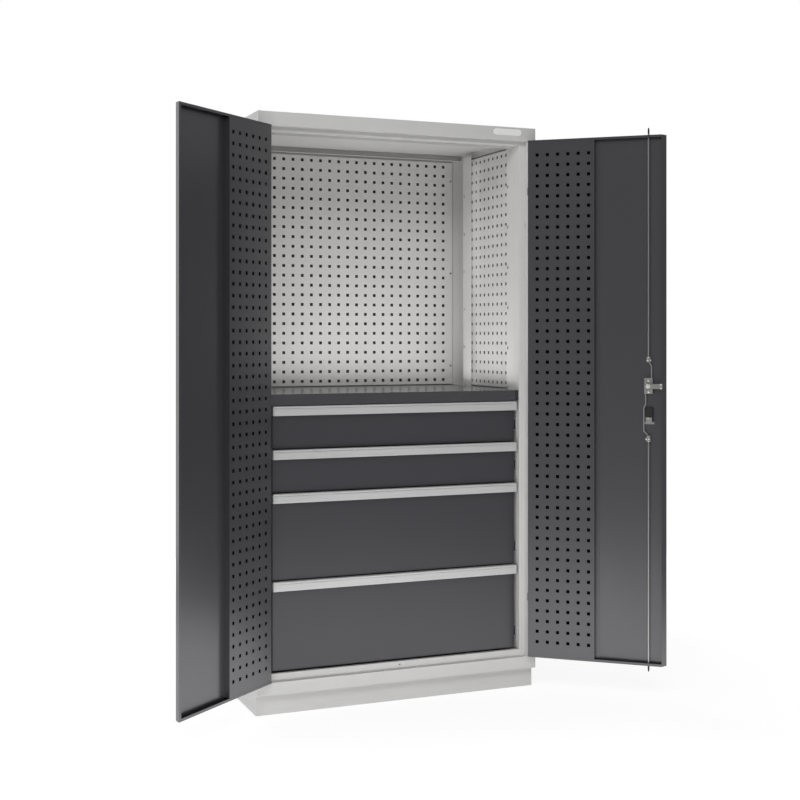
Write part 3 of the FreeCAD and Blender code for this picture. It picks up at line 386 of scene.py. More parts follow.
# Coats: name, colour, roughness, specular level, refraction
LIGHT_GREY = powder_coat("light_grey_powder_coat", (0.640, 0.636, 0.628), 0.50, 0.35)
ANTHRACITE = powder_coat(
    "anthracite_powder_coat", (0.0300, 0.0292, 0.0348), 0.29, 1.0, DARK_COAT_IOR)
# Same anthracite paint as the doors; this copy for the drawer fronts, with a lighter base and
# weaker reflection, is painted shade tuned so the drawers come out darker as in the doors' shade
DRAWER_SHADED_COAT = powder_coat(
    "drawer_anthracite_powder_coat", (0.0385, 0.0375, 0.0445), 0.30, 0.54, DARK_COAT_IOR)
WORKTOP_COAT = powder_coat("worktop_coat", (0.036, 0.035, 0.040), 0.14, 1.0, DARK_COAT_IOR)
# Painted shade: a dark grey for the wall faces behind the panels, standing in for the shade behind
# the holes
PAINTED_SHADE_GREY = powder_coat("grey_primer", (0.105, 0.104, 0.102), 0.70, 0.20)
# Painted shade: near black for the door skins behind their panels, standing in for the shade
# behind the holes
PAINTED_SHADE_BLACK = powder_coat("dark_primer", (0.008, 0.008, 0.009), 0.80, 0.10)
PLATE_WHITE = powder_coat("blank_plate_white", (0.93, 0.93, 0.93), 0.40, 0.50)

# Metals: name, colour, roughness, metallic share, grain, and how the grain is stretched
ALUMINIUM = drawn_metal(
    "handle_aluminium", (0.63, 0.63, 0.632), 0.42, 0.30, 500.0, (0.01, 1.0, 1.0))
ZINC = drawn_metal("zinc_plate", (0.62, 0.62, 0.61), 0.36, 0.9, 700.0, (1.0, 1.0, 0.05))
# Same zinc plate as ZINC on the lock's screws, nut, rivets and clip screws; its lighter colour and
# lower metallic share are a painted highlight for the glints on these small parts
GLINT_ZINC = drawn_metal("bright_zinc", (0.88, 0.88, 0.87), 0.30, 0.45, 400.0, (1.0, 1.0, 0.3))

BLACK_PLASTIC = moulded_plastic("black_plastic", (0.020, 0.020, 0.021), 0.45)


# Making pieces
def as_object(name, data):
    obj = bpy.data.objects.new(name, data)
    bpy.context.scene.collection.objects.link(obj)
    return obj


def settled(obj):
    """The object's mesh with its modifiers worked in, and the modifiers gone."""
    graph = bpy.context.evaluated_depsgraph_get()
    mesh = bpy.data.meshes.new_from_object(obj.evaluated_get(graph), depsgraph=graph)
    obj.modifiers.clear()
    obj.data = mesh
    return obj


def smooth_bends(obj):
    """Rounded folds shade softly while the flat faces beside them stay flat."""
    for face in obj.data.polygons:
        face.use_smooth = True
    obj.data.set_sharp_from_angle(angle=SHARP_ANGLE)
    obj.modifiers.new("flat_faces", "WEIGHTED_NORMAL").keep_sharp = True
    return settled(obj)


def belongs(obj, body, material, stands_for=()):
    """Gives a piece its finish and the body it moves with."""
    if not obj.data.materials:
        obj.data.materials.append(material)
    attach(obj, body)
    if stands_for:
        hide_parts(*stands_for)
    return obj


def piece(name, shape, body, material, stands_for=()):
    """A shape built in mesh code becomes a piece of the cabinet."""
    mesh = bpy.data.meshes.new(name)
    bmesh.ops.recalc_face_normals(shape, faces=shape.faces)
    shape.to_mesh(mesh)
    shape.free()
    return belongs(smooth_bends(as_object(name, mesh)), body, material, stands_for)


def moved(shape, matrix):
    bmesh.ops.transform(shape, matrix=matrix, verts=shape.verts)
    return shape


def rounded(shape, edges, radius):
    bmesh.ops.bevel(shape, geom=edges, offset=radius, segments=BEND_STEPS, profile=BEND_PROFILE,
                    affect="EDGES", clamp_overlap=True)


def lofted(rings):
    """Closed solid through rings of points, with a flat on the first and on the last."""
    shape = bmesh.new()
    rings = [[shape.verts.new(point) for point in ring] for ring in rings]
    for low, high in zip(rings, rings[1:]):
        for i in range(len(low)):
            j = (i + 1) % len(low)
            shape.faces.new((low[i], low[j], high[j], high[i]))
    shape.faces.new(rings[0])
    shape.faces.new(rings[-1])
    return shape


def extruded(section, x0, x1):
    """Solid with the section (y, z) drawn along X."""
    return lofted([[(x, y, z) for y, z in section] for x in (x0, x1)])


def arc(centre, radius, start, end, steps):
    """Points of an arc in a section's plane, from one angle to another in degrees."""
    y, z = centre
    turns = [math.radians(start + (end - start) * i / steps) for i in range(steps + 1)]
    return [(y + radius * math.cos(a), z + radius * math.sin(a)) for a in turns]


def lathed(profile, steps, start=0.0):
    """Solid of revolution about Z from (radius, height) pairs, closed by a flat at each end."""
    turns = [start + math.tau * i / steps for i in range(steps)]
    return lofted([[(r * math.cos(a), r * math.sin(a), h) for a in turns] for r, h in profile])


def dome(radius, height):
    """Low rivet head, standing on Z = 0."""
    rise = [math.radians(a) for a in DOME_RISE]
    return lathed([(radius * math.cos(a), height * math.sin(a)) for a in rise], HEAD_STEPS)


def merged(target, extra):
    """Adds one shape to another and empties it."""
    mesh = bpy.data.meshes.new("part")
    extra.to_mesh(mesh)
    extra.free()
    target.from_mesh(mesh)
    bpy.data.meshes.remove(mesh)


def together(shapes):
    for extra in shapes[1:]:
        merged(shapes[0], extra)
    return shapes[0]


# Geometry node trees
class Tree:
    """Small helper round one geometry node tree with named inputs."""

    def __init__(self, name, inputs):
        self.group = bpy.data.node_groups.new(name, "GeometryNodeTree")
        sockets = self.group.interface
        sockets.new_socket("Geometry", in_out="INPUT", socket_type="NodeSocketGeometry")
        for label, kind in inputs:
            sockets.new_socket(label, in_out="INPUT", socket_type="NodeSocket" + kind)
        sockets.new_socket("Geometry", in_out="OUTPUT", socket_type="NodeSocketGeometry")
        self.given = self.group.nodes.new("NodeGroupInput").outputs

    def add(self, kind, settings=None, **wires):
        node = self.group.nodes.new(kind)
        for key, value in (settings or {}).items():
            setattr(node, key, value)
        for key, value in wires.items():
            feed(self.group, node.inputs[key.replace("_", " ")], value)
        return node.outputs

    def joined(self, *parts):
        node = self.group.nodes.new("GeometryNodeJoinGeometry")
        for part in parts:
            self.group.links.new(part, node.inputs["Geometry"])
        return node.outputs["Geometry"]

    def product(self, a, b):
        return maths(self.group, "MULTIPLY", a, b)

    def reach(self, pitch, count):
        """Length of a row of points from the first to the last."""
        return self.product(pitch, maths(self.group, "SUBTRACT", count, 1.0))

    def vector(self, **parts):
        return self.add("ShaderNodeCombineXYZ", **parts)[0]

    def ends_with(self, geometry, material):
        real = self.add("GeometryNodeRealizeInstances", Geometry=geometry)[0]
        painted = self.add("GeometryNodeSetMaterial", Geometry=real, Material=material)[0]
        out = self.group.nodes.new("NodeGroupOutput")
        self.group.links.new(painted, out.inputs[0])


def grown(name, mesh, tree, **values):
    """Runs a tree on a mesh and returns an object with the plain mesh that it makes."""
    obj = as_object(name, mesh)
    modifier = obj.modifiers.new("grow", "NODES")
    modifier.node_group = tree.group
    for socket in tree.group.interface.items_tree:
        key = socket.name.lower().replace(" ", "_")
        if socket.in_out == "INPUT" and key in values:
            modifier[socket.identifier] = values[key]
    return settled(obj)


def perforation_tree():
    """Flat sheet with a square grid of square holes, lying in XY with its face up."""
    tree = Tree("square_perforation", [
        ("Width", "Float"), ("Height", "Float"), ("Columns", "Int"), ("Rows", "Int"),
        ("Pitch", "Float"), ("Hole", "Float"), ("Corner", "Float"), ("Sheet", "Float"),
        ("Shift", "Vector"), ("Material", "Material"),
    ])
    given = tree.given
    edge = tree.add("GeometryNodeCurvePrimitiveQuadrilateral",
                    Width=given["Width"], Height=given["Height"])[0]
    hole = tree.add("GeometryNodeCurvePrimitiveQuadrilateral",
                    Width=given["Hole"], Height=given["Hole"])[0]
    hole = tree.add("GeometryNodeFilletCurve", {"mode": "POLY"}, Curve=hole,
                    Radius=given["Corner"], Count=HOLE_CORNER_STEPS)[0]
    grid = tree.add("GeometryNodeMeshGrid",
                    Size_X=tree.reach(given["Pitch"], given["Columns"]),
                    Size_Y=tree.reach(given["Pitch"], given["Rows"]),
                    Vertices_X=given["Columns"], Vertices_Y=given["Rows"])[0]
    grid = tree.add("GeometryNodeTransform", Geometry=grid, Translation=given["Shift"])[0]
    holes = tree.add("GeometryNodeInstanceOnPoints", Points=grid, Instance=hole)[0]
    holes = tree.add("GeometryNodeRealizeInstances", Geometry=holes)[0]
    sheet = tree.add("GeometryNodeFillCurve", {"mode": "TRIANGLES"},
                     Curve=tree.joined(edge, holes))[0]
    raised = tree.add("GeometryNodeExtrudeMesh", {"mode": "FACES"}, Mesh=sheet,
                      Offset_Scale=given["Sheet"], Individual=False)[0]
    under = tree.add("GeometryNodeFlipFaces", Mesh=sheet)[0]
    whole = tree.add("GeometryNodeMergeByDistance", Geometry=tree.joined(raised, under),
                     Distance=MERGE)[0]
    tree.ends_with(whole, given["Material"])
    return tree


def screw_tree():
    """Pan head with a cross recess on each point, facing the way the point says."""
    tree = Tree("cross_head_screws", [
        ("Radius", "Float"), ("Head", "Float"), ("Top", "Float"), ("Cross Length", "Float"),
        ("Cross Width", "Float"), ("Cross Depth", "Float"), ("Seed", "Int"),
        ("Material", "Material"),
    ])
    given = tree.given
    edge_h = tree.product(given["Head"], SCREW_EDGE)
    disc = tree.add("GeometryNodeMeshCylinder", Vertices=HEAD_STEPS, Side_Segments=1,
                    Fill_Segments=1, Radius=given["Radius"], Depth=edge_h)
    crown = tree.add("GeometryNodeExtrudeMesh", {"mode": "FACES"}, Mesh=disc["Mesh"],
                     Selection=disc["Top"], Individual=False,
                     Offset_Scale=tree.product(given["Head"], SCREW_CROWN))
    head = tree.add("GeometryNodeScaleElements", Geometry=crown["Mesh"],
                    Selection=crown["Top"], Scale=given["Top"])[0]
    long, thin, deep = given["Cross Length"], given["Cross Width"], given["Cross Depth"]
    sizes = (tree.vector(X=long, Y=thin, Z=deep), tree.vector(X=thin, Y=long, Z=deep))
    arms = tree.joined(*(tree.add("GeometryNodeMeshCube", Size=size)[0] for size in sizes))
    lift = tree.vector(Z=tree.product(given["Head"], CROSS_AT))
    arms = tree.add("GeometryNodeTransform", Geometry=arms, Translation=lift)[0]
    cut = tree.add("GeometryNodeMeshBoolean", {"operation": "DIFFERENCE", "solver": "EXACT"},
                   Mesh_1=head, Mesh_2=arms, Self_Intersection=True)["Mesh"]
    seat = tree.vector(Z=tree.product(edge_h, 0.5))
    screw = tree.add("GeometryNodeTransform", Geometry=cut, Translation=seat)[0]
    facing = tree.add("GeometryNodeInputNamedAttribute", {"data_type": "FLOAT_VECTOR"},
                      Name="facing")["Attribute"]
    turned = tree.add("FunctionNodeAlignRotationToVector", {"axis": "Z"}, Vector=facing)[0]
    spin = tree.add("FunctionNodeRandomValue", {"data_type": "FLOAT"}, Seed=given["Seed"])[1]
    roll = tree.add("FunctionNodeAxisAngleToRotation", Axis=(0.0, 0.0, 1.0),
                    Angle=tree.product(spin, QUARTER_TURN))[0]
    turned = tree.add("FunctionNodeRotateRotation", {"rotation_space": "LOCAL"},
                      Rotation=turned, Rotate_By=roll)[0]
    screws = tree.add("GeometryNodeInstanceOnPoints", Points=given["Geometry"], Instance=screw,
                      Rotation=turned)[0]
    tree.ends_with(screws, given["Material"])
    return tree


# Places
def turned_on_hinge(side, angle):
    hinge = Matrix.Translation((side * HINGE_X, HINGE_Y, 0))
    return hinge @ Matrix.Rotation(angle, 4, "Z") @ hinge.inverted()


def open_right():
    return turned_on_hinge(1, RIGHT_OPEN)


def open_left():
    """From the closed right door to the open left one, its mirror image."""
    return turned_on_hinge(-1, LEFT_OPEN) @ Matrix.Diagonal((-1, 1, 1, 1))


def axes(along, up, facing, origin):
    """Matrix that lays a flat piece's X, Y and Z along three directions."""
    columns = [Vector(along), Vector(up), Vector(facing)]
    turned = Matrix([[c[i] for c in columns] for i in range(3)]).to_4x4()
    return Matrix.Translation(origin) @ turned


# Perforated panels
def flange_strip(length, depth):
    """Folded edge of a panel, along X, its bend rounded; the panel's face is at Z = 0."""
    centre = (PANEL_BEND, -PANEL_BEND)
    outer = arc(centre, PANEL_BEND, 90, 180, PANEL_BEND_STEPS)
    inner = arc(centre, PANEL_BEND - SHEET, 180, 90, PANEL_BEND_STEPS)
    section = outer + [(0.0, -depth), (SHEET, -depth)] + inner
    return extruded(section, -length / 2, length / 2)


def holed_face(name, tree, size, inset, material):
    """The tree's flat holed sheet as a shape, its face at Z = 0."""
    face = grown(name, bpy.data.meshes.new(name), tree,
                 width=size["width"] - 2 * inset, height=size["height"] - 2 * inset,
                 columns=size["columns"], rows=size["rows"], pitch=PITCH, hole=HOLE,
                 corner=HOLE_CORNER, sheet=SHEET, shift=size["shift"], material=material)
    shape = bmesh.new()
    shape.from_mesh(face.data)
    bpy.data.objects.remove(face)
    bmesh.ops.translate(shape, verts=shape.verts, vec=(0, 0, -SHEET))
    return shape


def panel_with_flanges(name, tree, place, size, body, material, node):
    """Holed face from the tree, with folded flanges round it, laid in its place."""
    shape = holed_face(name + "_face", tree, size, PANEL_BEND, material)
    sides = [(size["width"], size["height"]), (size["height"], size["width"])]
    for turn in range(4):
        length, reach = sides[turn % 2]
        strip = flange_strip(length - 2 * PANEL_BEND, size["flange"] + SHEET)
        turned = Matrix.Rotation(math.radians(90 * turn), 4, "Z")
        merged(shape, moved(strip, turned @ Matrix.Translation((0, -reach / 2, 0))))
    return piece(name, moved(shape, place), body, material, [node])


def door_panel_fold():
    """Step from the door panel's face down to the door skin, with its foot."""
    edge, foot = DOOR_PANEL_EDGE, DOOR_PANEL_EDGE + DOOR_PANEL_FOOT
    section = [
        (edge - SHEET, DOOR_D - SHEET), (edge, DOOR_D - SHEET), (edge, 2 * SHEET),
        (foot, 2 * SHEET), (foot, SHEET), (edge - SHEET, SHEET),
    ]
    half = DOOR_PANEL["height"] / 2
    ends = (DOOR_PANEL_Z - half, DOOR_PANEL_Z + half)
    return lofted([[(X_DOOR - s, Y_FRONT + t, z) for s, t in section] for z in ends])


def door_panel_shape(tree, material):
    """Door panel with its folded inner edge and foot, on the closed right door."""
    shape = holed_face("door_panel_face", tree, DOOR_PANEL, 0.0, material)
    middle = (X_DOOR - DOOR_PANEL_S, Y_FRONT + DOOR_D, DOOR_PANEL_Z)
    moved(shape, axes((-1, 0, 0), (0, 0, 1), (0, 1, 0), middle))
    merged(shape, door_panel_fold())
    return shape


def perforated_panels():
    tree = perforation_tree()
    back = axes((1, 0, 0), (0, 0, 1), (0, -1, 0), (0, BACK_PANEL_Y, PANEL_Z))
    right = axes((0, -1, 0), (0, 0, 1), (-1, 0, 0), (SIDE_PANEL_X, SIDE_PANEL_Y, PANEL_Z))
    left = axes((0, 1, 0), (0, 0, 1), (1, 0, 0), (-SIDE_PANEL_X, SIDE_PANEL_Y, PANEL_Z))
    for side, place, size in (("back", back, BACK_PANEL), ("right", right, SIDE_PANEL),
                              ("left", left, SIDE_PANEL)):
        panel_with_flanges(side + "_panel", tree, place, size, "cabinet", LIGHT_GREY,
                           side + "_perforated_panel")
    for side, place in (("left", open_left()), ("right", open_right())):
        shape = moved(door_panel_shape(tree, ANTHRACITE), place)
        piece(side + "_panel_of_door", shape, side + "_door", ANTHRACITE, [side + "_door_panel"])


# Screws
def screw_points(spots):
    mesh = bpy.data.meshes.new("screw_spots")
    mesh.from_pydata([spot for spot, facing in spots], [], [])
    facing = mesh.attributes.new("facing", "FLOAT_VECTOR", "POINT")
    for mark, (spot, way) in zip(facing.data, spots):
        mark.vector = way
    return mesh


def screws(name, tree, spots, radius, body, node, seed, material):
    obj = grown(name, screw_points(spots), tree, radius=radius,
                head=SCREW_HEAD_H * radius / SCREW_HEAD_R, top=SCREW_TOP,
                cross_length=CROSS_L * radius / SCREW_HEAD_R, cross_width=CROSS_W,
                cross_depth=CROSS_D, seed=seed, material=material)
    belongs(smooth_bends(obj), body, material, [node])


def all_screws():
    tree = screw_tree()
    spots = [((x, BACK_PANEL_Y, z), (0, -1, 0))
             for x in (-BACK_SCREW_X, BACK_SCREW_X) for z in SCREW_Z]
    for side in (-1, 1):
        spots += [((side * SIDE_PANEL_X, y, z), (-side, 0, 0))
                  for y in SIDE_SCREW_Y for z in (SCREW_Z[0], SCREW_Z[-1])]
    screws("panel_screw_heads", tree, spots, SCREW_HEAD_R, "cabinet", "panel_screws",
           PANEL_SCREW_SEED, ZINC)
    place = open_right()
    out = (place.to_3x3() @ Vector((0, 1, 0))).to_tuple()
    lock = [(place @ Vector((X_DOOR - s, Y_FRONT + LOCK_SCREW_T, z)), out)
            for s, z in LOCK_SCREW_SPOTS]
    screws("lock_screw_heads", tree, lock, LOCK_SCREW_R, "right_door", "lock_screws",
           LOCK_SCREW_SEED, GLINT_ZINC)


# Lock parts on the right door
def on_door(shape, s, t, z):
    """Stands a shape made along Z on the open right door, its Z pointing inwards."""
    closed = axes((1, 0, 0), (0, 0, -1), (0, 1, 0), (X_DOOR - s, Y_FRONT + t, z))
    return moved(shape, open_right() @ closed)


def clip_screws(table, clip_z):
    return together([
        on_door(dome(WING_R * share, height), ROD_S + ds, CLIP_T + dt, clip_z + dz)
        for share, height, ds, dt, dz in table
    ])


def lock_fittings():
    ear_s = ROD_S + TONGUE_END - EAR_INSET
    ears = [on_door(dome(EAR_R, EAR_H), ear_s, TONGUE_T, LOCK_Z + way * TONGUE_EAR)
            for way in (-1, 1)]
    nut_r = NUT_FLAT / math.cos(math.pi / NUT_SIDES)
    nut = lathed([(nut_r, 0), (nut_r, NUT_H * NUT_EDGE), (nut_r * NUT_TOP, NUT_H)],
                 NUT_SIDES, NUT_TURN)
    end = lathed(SPINDLE_END, SPINDLE_STEPS)
    washer = lathed(WASHER, ROUND_STEPS)
    hub = [on_door(part, ROD_S, TONGUE_T, LOCK_Z) for part in (washer, nut, end)]
    piece("latch_nut_and_rivets", together(ears + hub), "latch_cam", GLINT_ZINC)
    clamp = on_door(lathed(CLAMP_SCREW, HEAD_STEPS), ROD_S, CLAMP_SCREW_T, CLAMP_SCREW_Z)
    piece("clamp_screw", clamp, "right_door", GLINT_ZINC)
    upper = clip_screws(UPPER_CLIP, UPPER_CLIP_Z)
    piece("upper_clip_screws", upper, "upper_bolt", GLINT_ZINC)
    lower = clip_screws(LOWER_CLIP, LOWER_CLIP_Z)
    piece("lower_clip_screws", lower, "lower_bolt", GLINT_ZINC)


def rod_tips():
    """Dark ends of the two rods, drawn to a blunt point."""
    at = open_right() @ Vector((X_DOOR - ROD_S, Y_FRONT + ROD_T, 0))
    neck = ROD_TIP_H - ROD_POINT
    for name, end, way in (("upper", UPPER_TIP_Z, 1), ("lower", LOWER_TIP_Z, -1)):
        tip = lathed([(ROD_TIP_R, 0), (ROD_TIP_R, neck), (ROD_POINT_R, ROD_TIP_H)], ROUND_STEPS)
        turn = Matrix.Rotation(0 if way > 0 else math.pi, 4, "X")
        moved(tip, Matrix.Translation((at.x, at.y, end - way * ROD_TIP_H)) @ turn)
        piece(name + "_rod_tip", tip, name + "_bolt", BLACK_PLASTIC)


def blank_plate():
    """Plain plate with round ends on the front of the top cap; nothing is printed on it."""
    x, z = PLATE_AT
    r = PLATE_H / 2
    reach = PLATE_W / 2 - r
    outline = arc((x + reach, z), r, -90, 90, PLATE_STEPS)
    outline += arc((x - reach, z), r, 90, 270, PLATE_STEPS)
    shape = lofted([[(px, y, pz) for px, pz in outline] for y in (Y_FRONT, Y_FRONT - PLATE_D)])
    piece("blank_plate", shape, "cabinet", PLATE_WHITE)


# Drawer handles
def handle_section(top):
    """Outline (y, z) of the handle: rounded top edge, grooved face, finger recess below."""
    face, back = HANDLE_Y, HANDLE_BACK_Y
    base = top - HANDLE_H
    roof = top - HANDLE_ROOF
    heel = base + HANDLE_BACK_RISE
    section = [(back, top)]
    section += arc((face + HANDLE_ROUND, top - HANDLE_ROUND), HANDLE_ROUND, 90, 180,
                   HANDLE_ROUND_STEPS)
    for depth, height, drop in GROOVES:
        z = top - drop
        section += [
            (face, z), (face + depth, z - height * GROOVE_TAPER),
            (face + depth, z - height * (1 - GROOVE_TAPER)), (face, z - height),
        ]
    section += arc((face + HANDLE_EDGE, base + HANDLE_EDGE), HANDLE_EDGE, 180, 270,
                   HANDLE_EDGE_STEPS)
    section += [
        (face + HANDLE_WALL, base), (face + HANDLE_WALL, roof), (back - HANDLE_WALL, roof),
        (back - HANDLE_WALL, heel), (back, heel),
    ]
    return section


def handle_cap(top, side):
    """Moulded end cap with a rounded outer corner, closing the section."""
    x0 = HANDLE_HALF - HANDLE_CAP_W
    base = top - HANDLE_H
    corner = (HANDLE_HALF - CAP_CORNER, top - CAP_CORNER)
    outline = [(x0, base), (x0, top)]
    outline += arc(corner, CAP_CORNER, 90, 0, CAP_CORNER_STEPS) + [(HANDLE_HALF, base)]
    shape = lofted([[(side * x, y, z) for x, z in outline] for y in (HANDLE_Y, HANDLE_BACK_Y)])
    bmesh.ops.recalc_face_normals(shape, faces=shape.faces)
    shape.faces.ensure_lookup_table()
    front = shape.faces[len(outline)]
    rounded(shape, list(front.edges), CAP_RIM)
    return shape


def drawer_handles():
    x1 = HANDLE_HALF - HANDLE_CAP_W
    for body, top in HANDLE_TOPS.items():
        rail = extruded(handle_section(top), -x1, x1)
        piece(body + "_handle_rail", rail, body, ALUMINIUM, [body + "_handle"])
        caps = together([handle_cap(top, 1), handle_cap(top, -1)])
        piece(body + "_handle_caps", caps, body, ALUMINIUM)


# Sheet-metal and lock pieces that keep the solid's shape, with rounded folds
FORMED = {
    LIGHT_GREY: [
        "plinth", "bottom_pan", "top_cap", "ceiling_panel", "right_side_wall", "left_side_wall",
        "back_wall", "right_front_post", "left_front_post", "right_rear_post", "left_rear_post",
        "top_front_rail", "bottom_front_rail",
    ] + [drawer + "_box" for drawer in HANDLE_TOPS],
    ANTHRACITE: ["left_door_skin", "right_door_skin"],
    DRAWER_SHADED_COAT: [drawer + "_front" for drawer in HANDLE_TOPS],
    WORKTOP_COAT: ["worktop"],
    ZINC: ["latch_housing", "cylinder_clamp", "latch_tongue"],
    BLACK_PLASTIC: ["cylinder_housing", "handle_plate", "swing_lever"],
}
SMALL_BEND = {
    "latch_housing": 0.0012, "cylinder_clamp": 0.0006, "latch_tongue": 0.0006,
    "cylinder_housing": 0.001, "handle_plate": 0.0015, "swing_lever": 0.0015,
}

# Walls with painted shade behind a panel: the axis and the way they face, and the span across them
SHADE_PAINTED_WALLS = {
    "right_side_wall": (0, (-1, 0, 0), SIDE_SHADE_Y),
    "left_side_wall": (0, (1, 0, 0), SIDE_SHADE_Y),
    "back_wall": (1, (0, -1, 0), BACK_SHADE_X),
}
# Door skins whose faces behind the perforated panel get painted shade, with each door's place
SHADE_BEHIND_DOOR_PANELS = {"left_door_skin": open_left(), "right_door_skin": open_right()}

# Solids that are shown as they are, in a finish of the scene
CARRIED = {
    LIGHT_GREY: ["hinge_frame_leaves"],
    ANTHRACITE: ["left_door_hinge_leaves", "right_door_hinge_leaves"],
    ZINC: [
        "fixed_slide_rails", "lock_spindle", "key_plug", "upper_rod", "upper_link", "lower_rod",
        "lower_link",
    ] + [drawer + rails for rails in ("_inner_rails", "_mid_rails") for drawer in HANDLE_TOPS],
    BLACK_PLASTIC: ["rod_guides"],
}


def cut_across(shape, way, at):
    """Divides the faces of a shape along a plane square to one axis."""
    point, normal = [0, 0, 0], [0, 0, 0]
    point[way] = at
    normal[way] = 1
    bmesh.ops.bisect_plane(shape, geom=shape.verts[:] + shape.edges[:] + shape.faces[:],
                           plane_co=point, plane_no=normal)


def behind_panel(shape, axis, facing, span):
    """Marks the inner side of a wall where a perforated panel and the posts cover it, for painted
    shade.
    """
    across = 1 - axis
    for way, limits in ((across, span), (2, SHADE_Z)):
        for limit in limits:
            cut_across(shape, way, limit)
    for face in shape.faces:
        middle = face.calc_center_median()
        covered = span[0] < middle[across] < span[1] and SHADE_Z[0] < middle.z < SHADE_Z[1]
        if covered and face.normal.dot(Vector(facing)) > FACES_WAY:
            face.material_index = 1


def behind_door_panel(shape, place):
    """Marks the inner side of a door's skin where its perforated panel covers it, for painted
    shade.
    """
    edge = X_DOOR - DOOR_PANEL_EDGE + SHEET
    moved(shape, place.inverted())
    shape.normal_update()
    cut_across(shape, 0, edge)
    for face in shape.faces:
        middle = face.calc_center_median()
        inner = Y_FRONT + SHEET / 2 < middle.y < Y_FRONT + DOOR_D / 2
        if inner and middle.x > edge and abs(face.normal.y) > FACES_WAY:
            face.material_index = 1
    moved(shape, place)
    shape.normal_update()


def face_width(face):
    return 2 * face.calc_area() / face.calc_perimeter()


def is_fold(edge):
    if len(edge.link_faces) != 2 or not edge.is_convex:
        return False
    wide = all(face_width(face) > FOLD_MIN for face in edge.link_faces)
    return wide and edge.calc_face_angle() > FOLD_ANGLE


def formed(node, material):
    """Copy of a sheet or cast node with its outside folds rounded."""
    shape = bmesh.new()
    shape.from_mesh(nodes[node].data)
    bmesh.ops.remove_doubles(shape, verts=shape.verts, dist=MERGE)
    if material is DRAWER_SHADED_COAT:
        widen = (FRONT_HALF / SOLID_FRONT_HALF, 1, 1)
        bmesh.ops.scale(shape, vec=widen, verts=shape.verts)
    bmesh.ops.dissolve_limit(shape, angle_limit=FLAT_ANGLE, verts=shape.verts, edges=shape.edges)
    folds = [edge for edge in shape.edges if is_fold(edge)]
    rounded(shape, folds, SMALL_BEND.get(node, BEND))
    mesh = bpy.data.meshes.new(node + "_formed")
    mesh.materials.append(material)
    # Wall faces behind a panel get a second slot with painted shade
    if node in SHADE_PAINTED_WALLS:
        behind_panel(shape, *SHADE_PAINTED_WALLS[node])
        mesh.materials.append(PAINTED_SHADE_GREY)
    # Door skin faces behind the perforated panel get a second slot with painted shade
    if node in SHADE_BEHIND_DOOR_PANELS:
        behind_door_panel(shape, SHADE_BEHIND_DOOR_PANELS[node])
        mesh.materials.append(PAINTED_SHADE_BLACK)
    shape.to_mesh(mesh)
    shape.free()
    obj = smooth_bends(as_object(node + "_formed", mesh))
    return belongs(obj, body_of_node[node], material, [node])


def sheet_and_cast_pieces():
    for material, names in FORMED.items():
        for node in names:
            formed(node, material)
    for material, names in CARRIED.items():
        for node in names:
            nodes[node].data.materials.clear()
            nodes[node].data.materials.append(material)


# Studio: floor, lights and camera
def ray_kinds(tree):
    """Whether a ray looks, straight or through something clear, and whether it mirrors."""
    path = tree.nodes.new("ShaderNodeLightPath").outputs
    seen = maths(tree, "MAXIMUM", path["Is Camera Ray"], path["Is Transmission Ray"])
    return seen, path["Is Glossy Ray"]


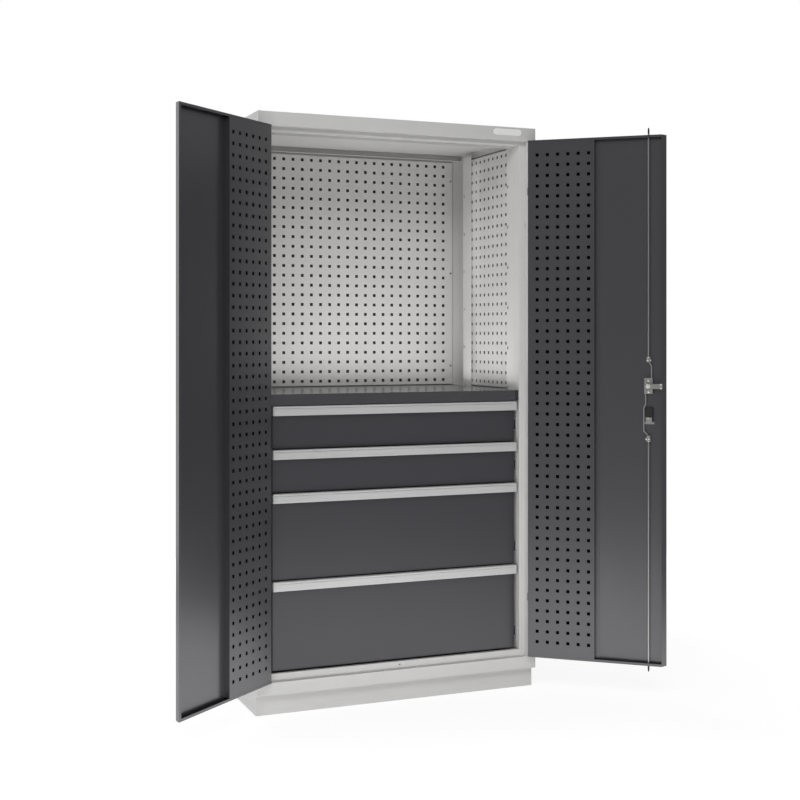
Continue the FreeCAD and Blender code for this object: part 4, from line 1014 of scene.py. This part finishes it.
def studio_floor():
    """Pale floor: lit and shadowed for all rays, lifted to white where the camera sees it."""
    shape = bmesh.new()
    bmesh.ops.create_circle(shape, cap_ends=True, segments=FLOOR_SIDES, radius=FLOOR_R)
    bmesh.ops.translate(shape, verts=shape.verts, vec=FLOOR_AT)
    mesh = bpy.data.meshes.new("floor")
    shape.to_mesh(mesh)
    shape.free()
    floor = as_object("floor", mesh)
    material, tree, shader, place = finish("pale_floor")
    toned(tree, shader, noise(tree, place, *FLOOR_CLOUD), (FLOOR_TONE,) * 3, FLOOR_TONES)
    shader.inputs["Roughness"].default_value = FLOOR_ROUGHNESS
    shader.inputs["Specular IOR Level"].default_value = 0.0
    seen, glossy = ray_kinds(tree)
    away = tree.nodes.new("ShaderNodeVectorMath")
    away.operation = "LENGTH"
    tree.links.new(place, away.inputs[0])
    away = away.outputs["Value"]
    mirrored = mapped(tree, away, *FLOOR_MIRROR, easing="SMOOTHSTEP")
    lifted = mapped(tree, away, *FLOOR_LIFT, easing="SMOOTHSTEP")
    glow = tree.nodes.new("ShaderNodeEmission")
    feed(tree, glow.inputs["Strength"], blended(tree, glossy, FLOOR_WHITE, mirrored))
    share = maths(tree, "MAXIMUM", maths(tree, "MULTIPLY", seen, lifted), glossy)
    mix = tree.nodes.new("ShaderNodeMixShader")
    for socket, value in zip(mix.inputs, (share, shader.outputs[0], glow.outputs[0])):
        tree.links.new(value, socket)
    tree.links.new(mix.outputs[0], tree.nodes["Material Output"].inputs["Surface"])
    mesh.materials.append(material)


def studio_world():
    """Soft grey room light; white where it is seen, dim in front where the paint mirrors it."""
    world = bpy.data.worlds.new("studio")
    bpy.context.scene.world = world
    world.use_nodes = True
    tree = world.node_tree
    room = tree.nodes["Background"]
    room.inputs["Color"].default_value = (1, 1, 1, 1)
    seen, glossy = ray_kinds(tree)
    way = tree.nodes.new("ShaderNodeSeparateXYZ")
    place = tree.nodes.new("ShaderNodeTexCoord")
    tree.links.new(place.outputs["Generated"], way.inputs[0])
    mirrored = mapped(tree, way.outputs["Y"], *ROOM_MIRROR, easing="SMOOTHSTEP")
    lit = blended(tree, glossy, ROOM_LIGHT, mirrored)
    feed(tree, room.inputs["Strength"], blended(tree, seen, lit, 1.0))


def softbox(name, place, aim, size, power):
    light = bpy.data.lights.new(name, "AREA")
    light.shape = "RECTANGLE"
    light.size, light.size_y = size
    light.energy = power
    lamp = as_object(name, light)
    lamp.location = place
    lamp.rotation_euler = (Vector(aim) - Vector(place)).to_track_quat("-Z", "Y").to_euler()
    lamp.visible_glossy = False


def studio_camera():
    lens = bpy.data.cameras.new("photo_camera")
    lens.sensor_width = CAMERA_SENSOR
    lens.lens = CAMERA_LENS
    lens.shift_x, lens.shift_y = CAMERA_SHIFT
    camera = as_object("photo_camera", lens)
    camera.location = CAMERA_AT
    camera.rotation_euler = (CAMERA_LEVEL, 0, CAMERA_TURN)
    bpy.context.scene.camera = camera


perforated_panels()
all_screws()
drawer_handles()
lock_fittings()
rod_tips()
blank_plate()
sheet_and_cast_pieces()
studio_floor()
studio_world()
for box in SOFTBOXES:
    softbox(*box)
studio_camera()

bpy.context.scene.view_settings.view_transform = "Standard"
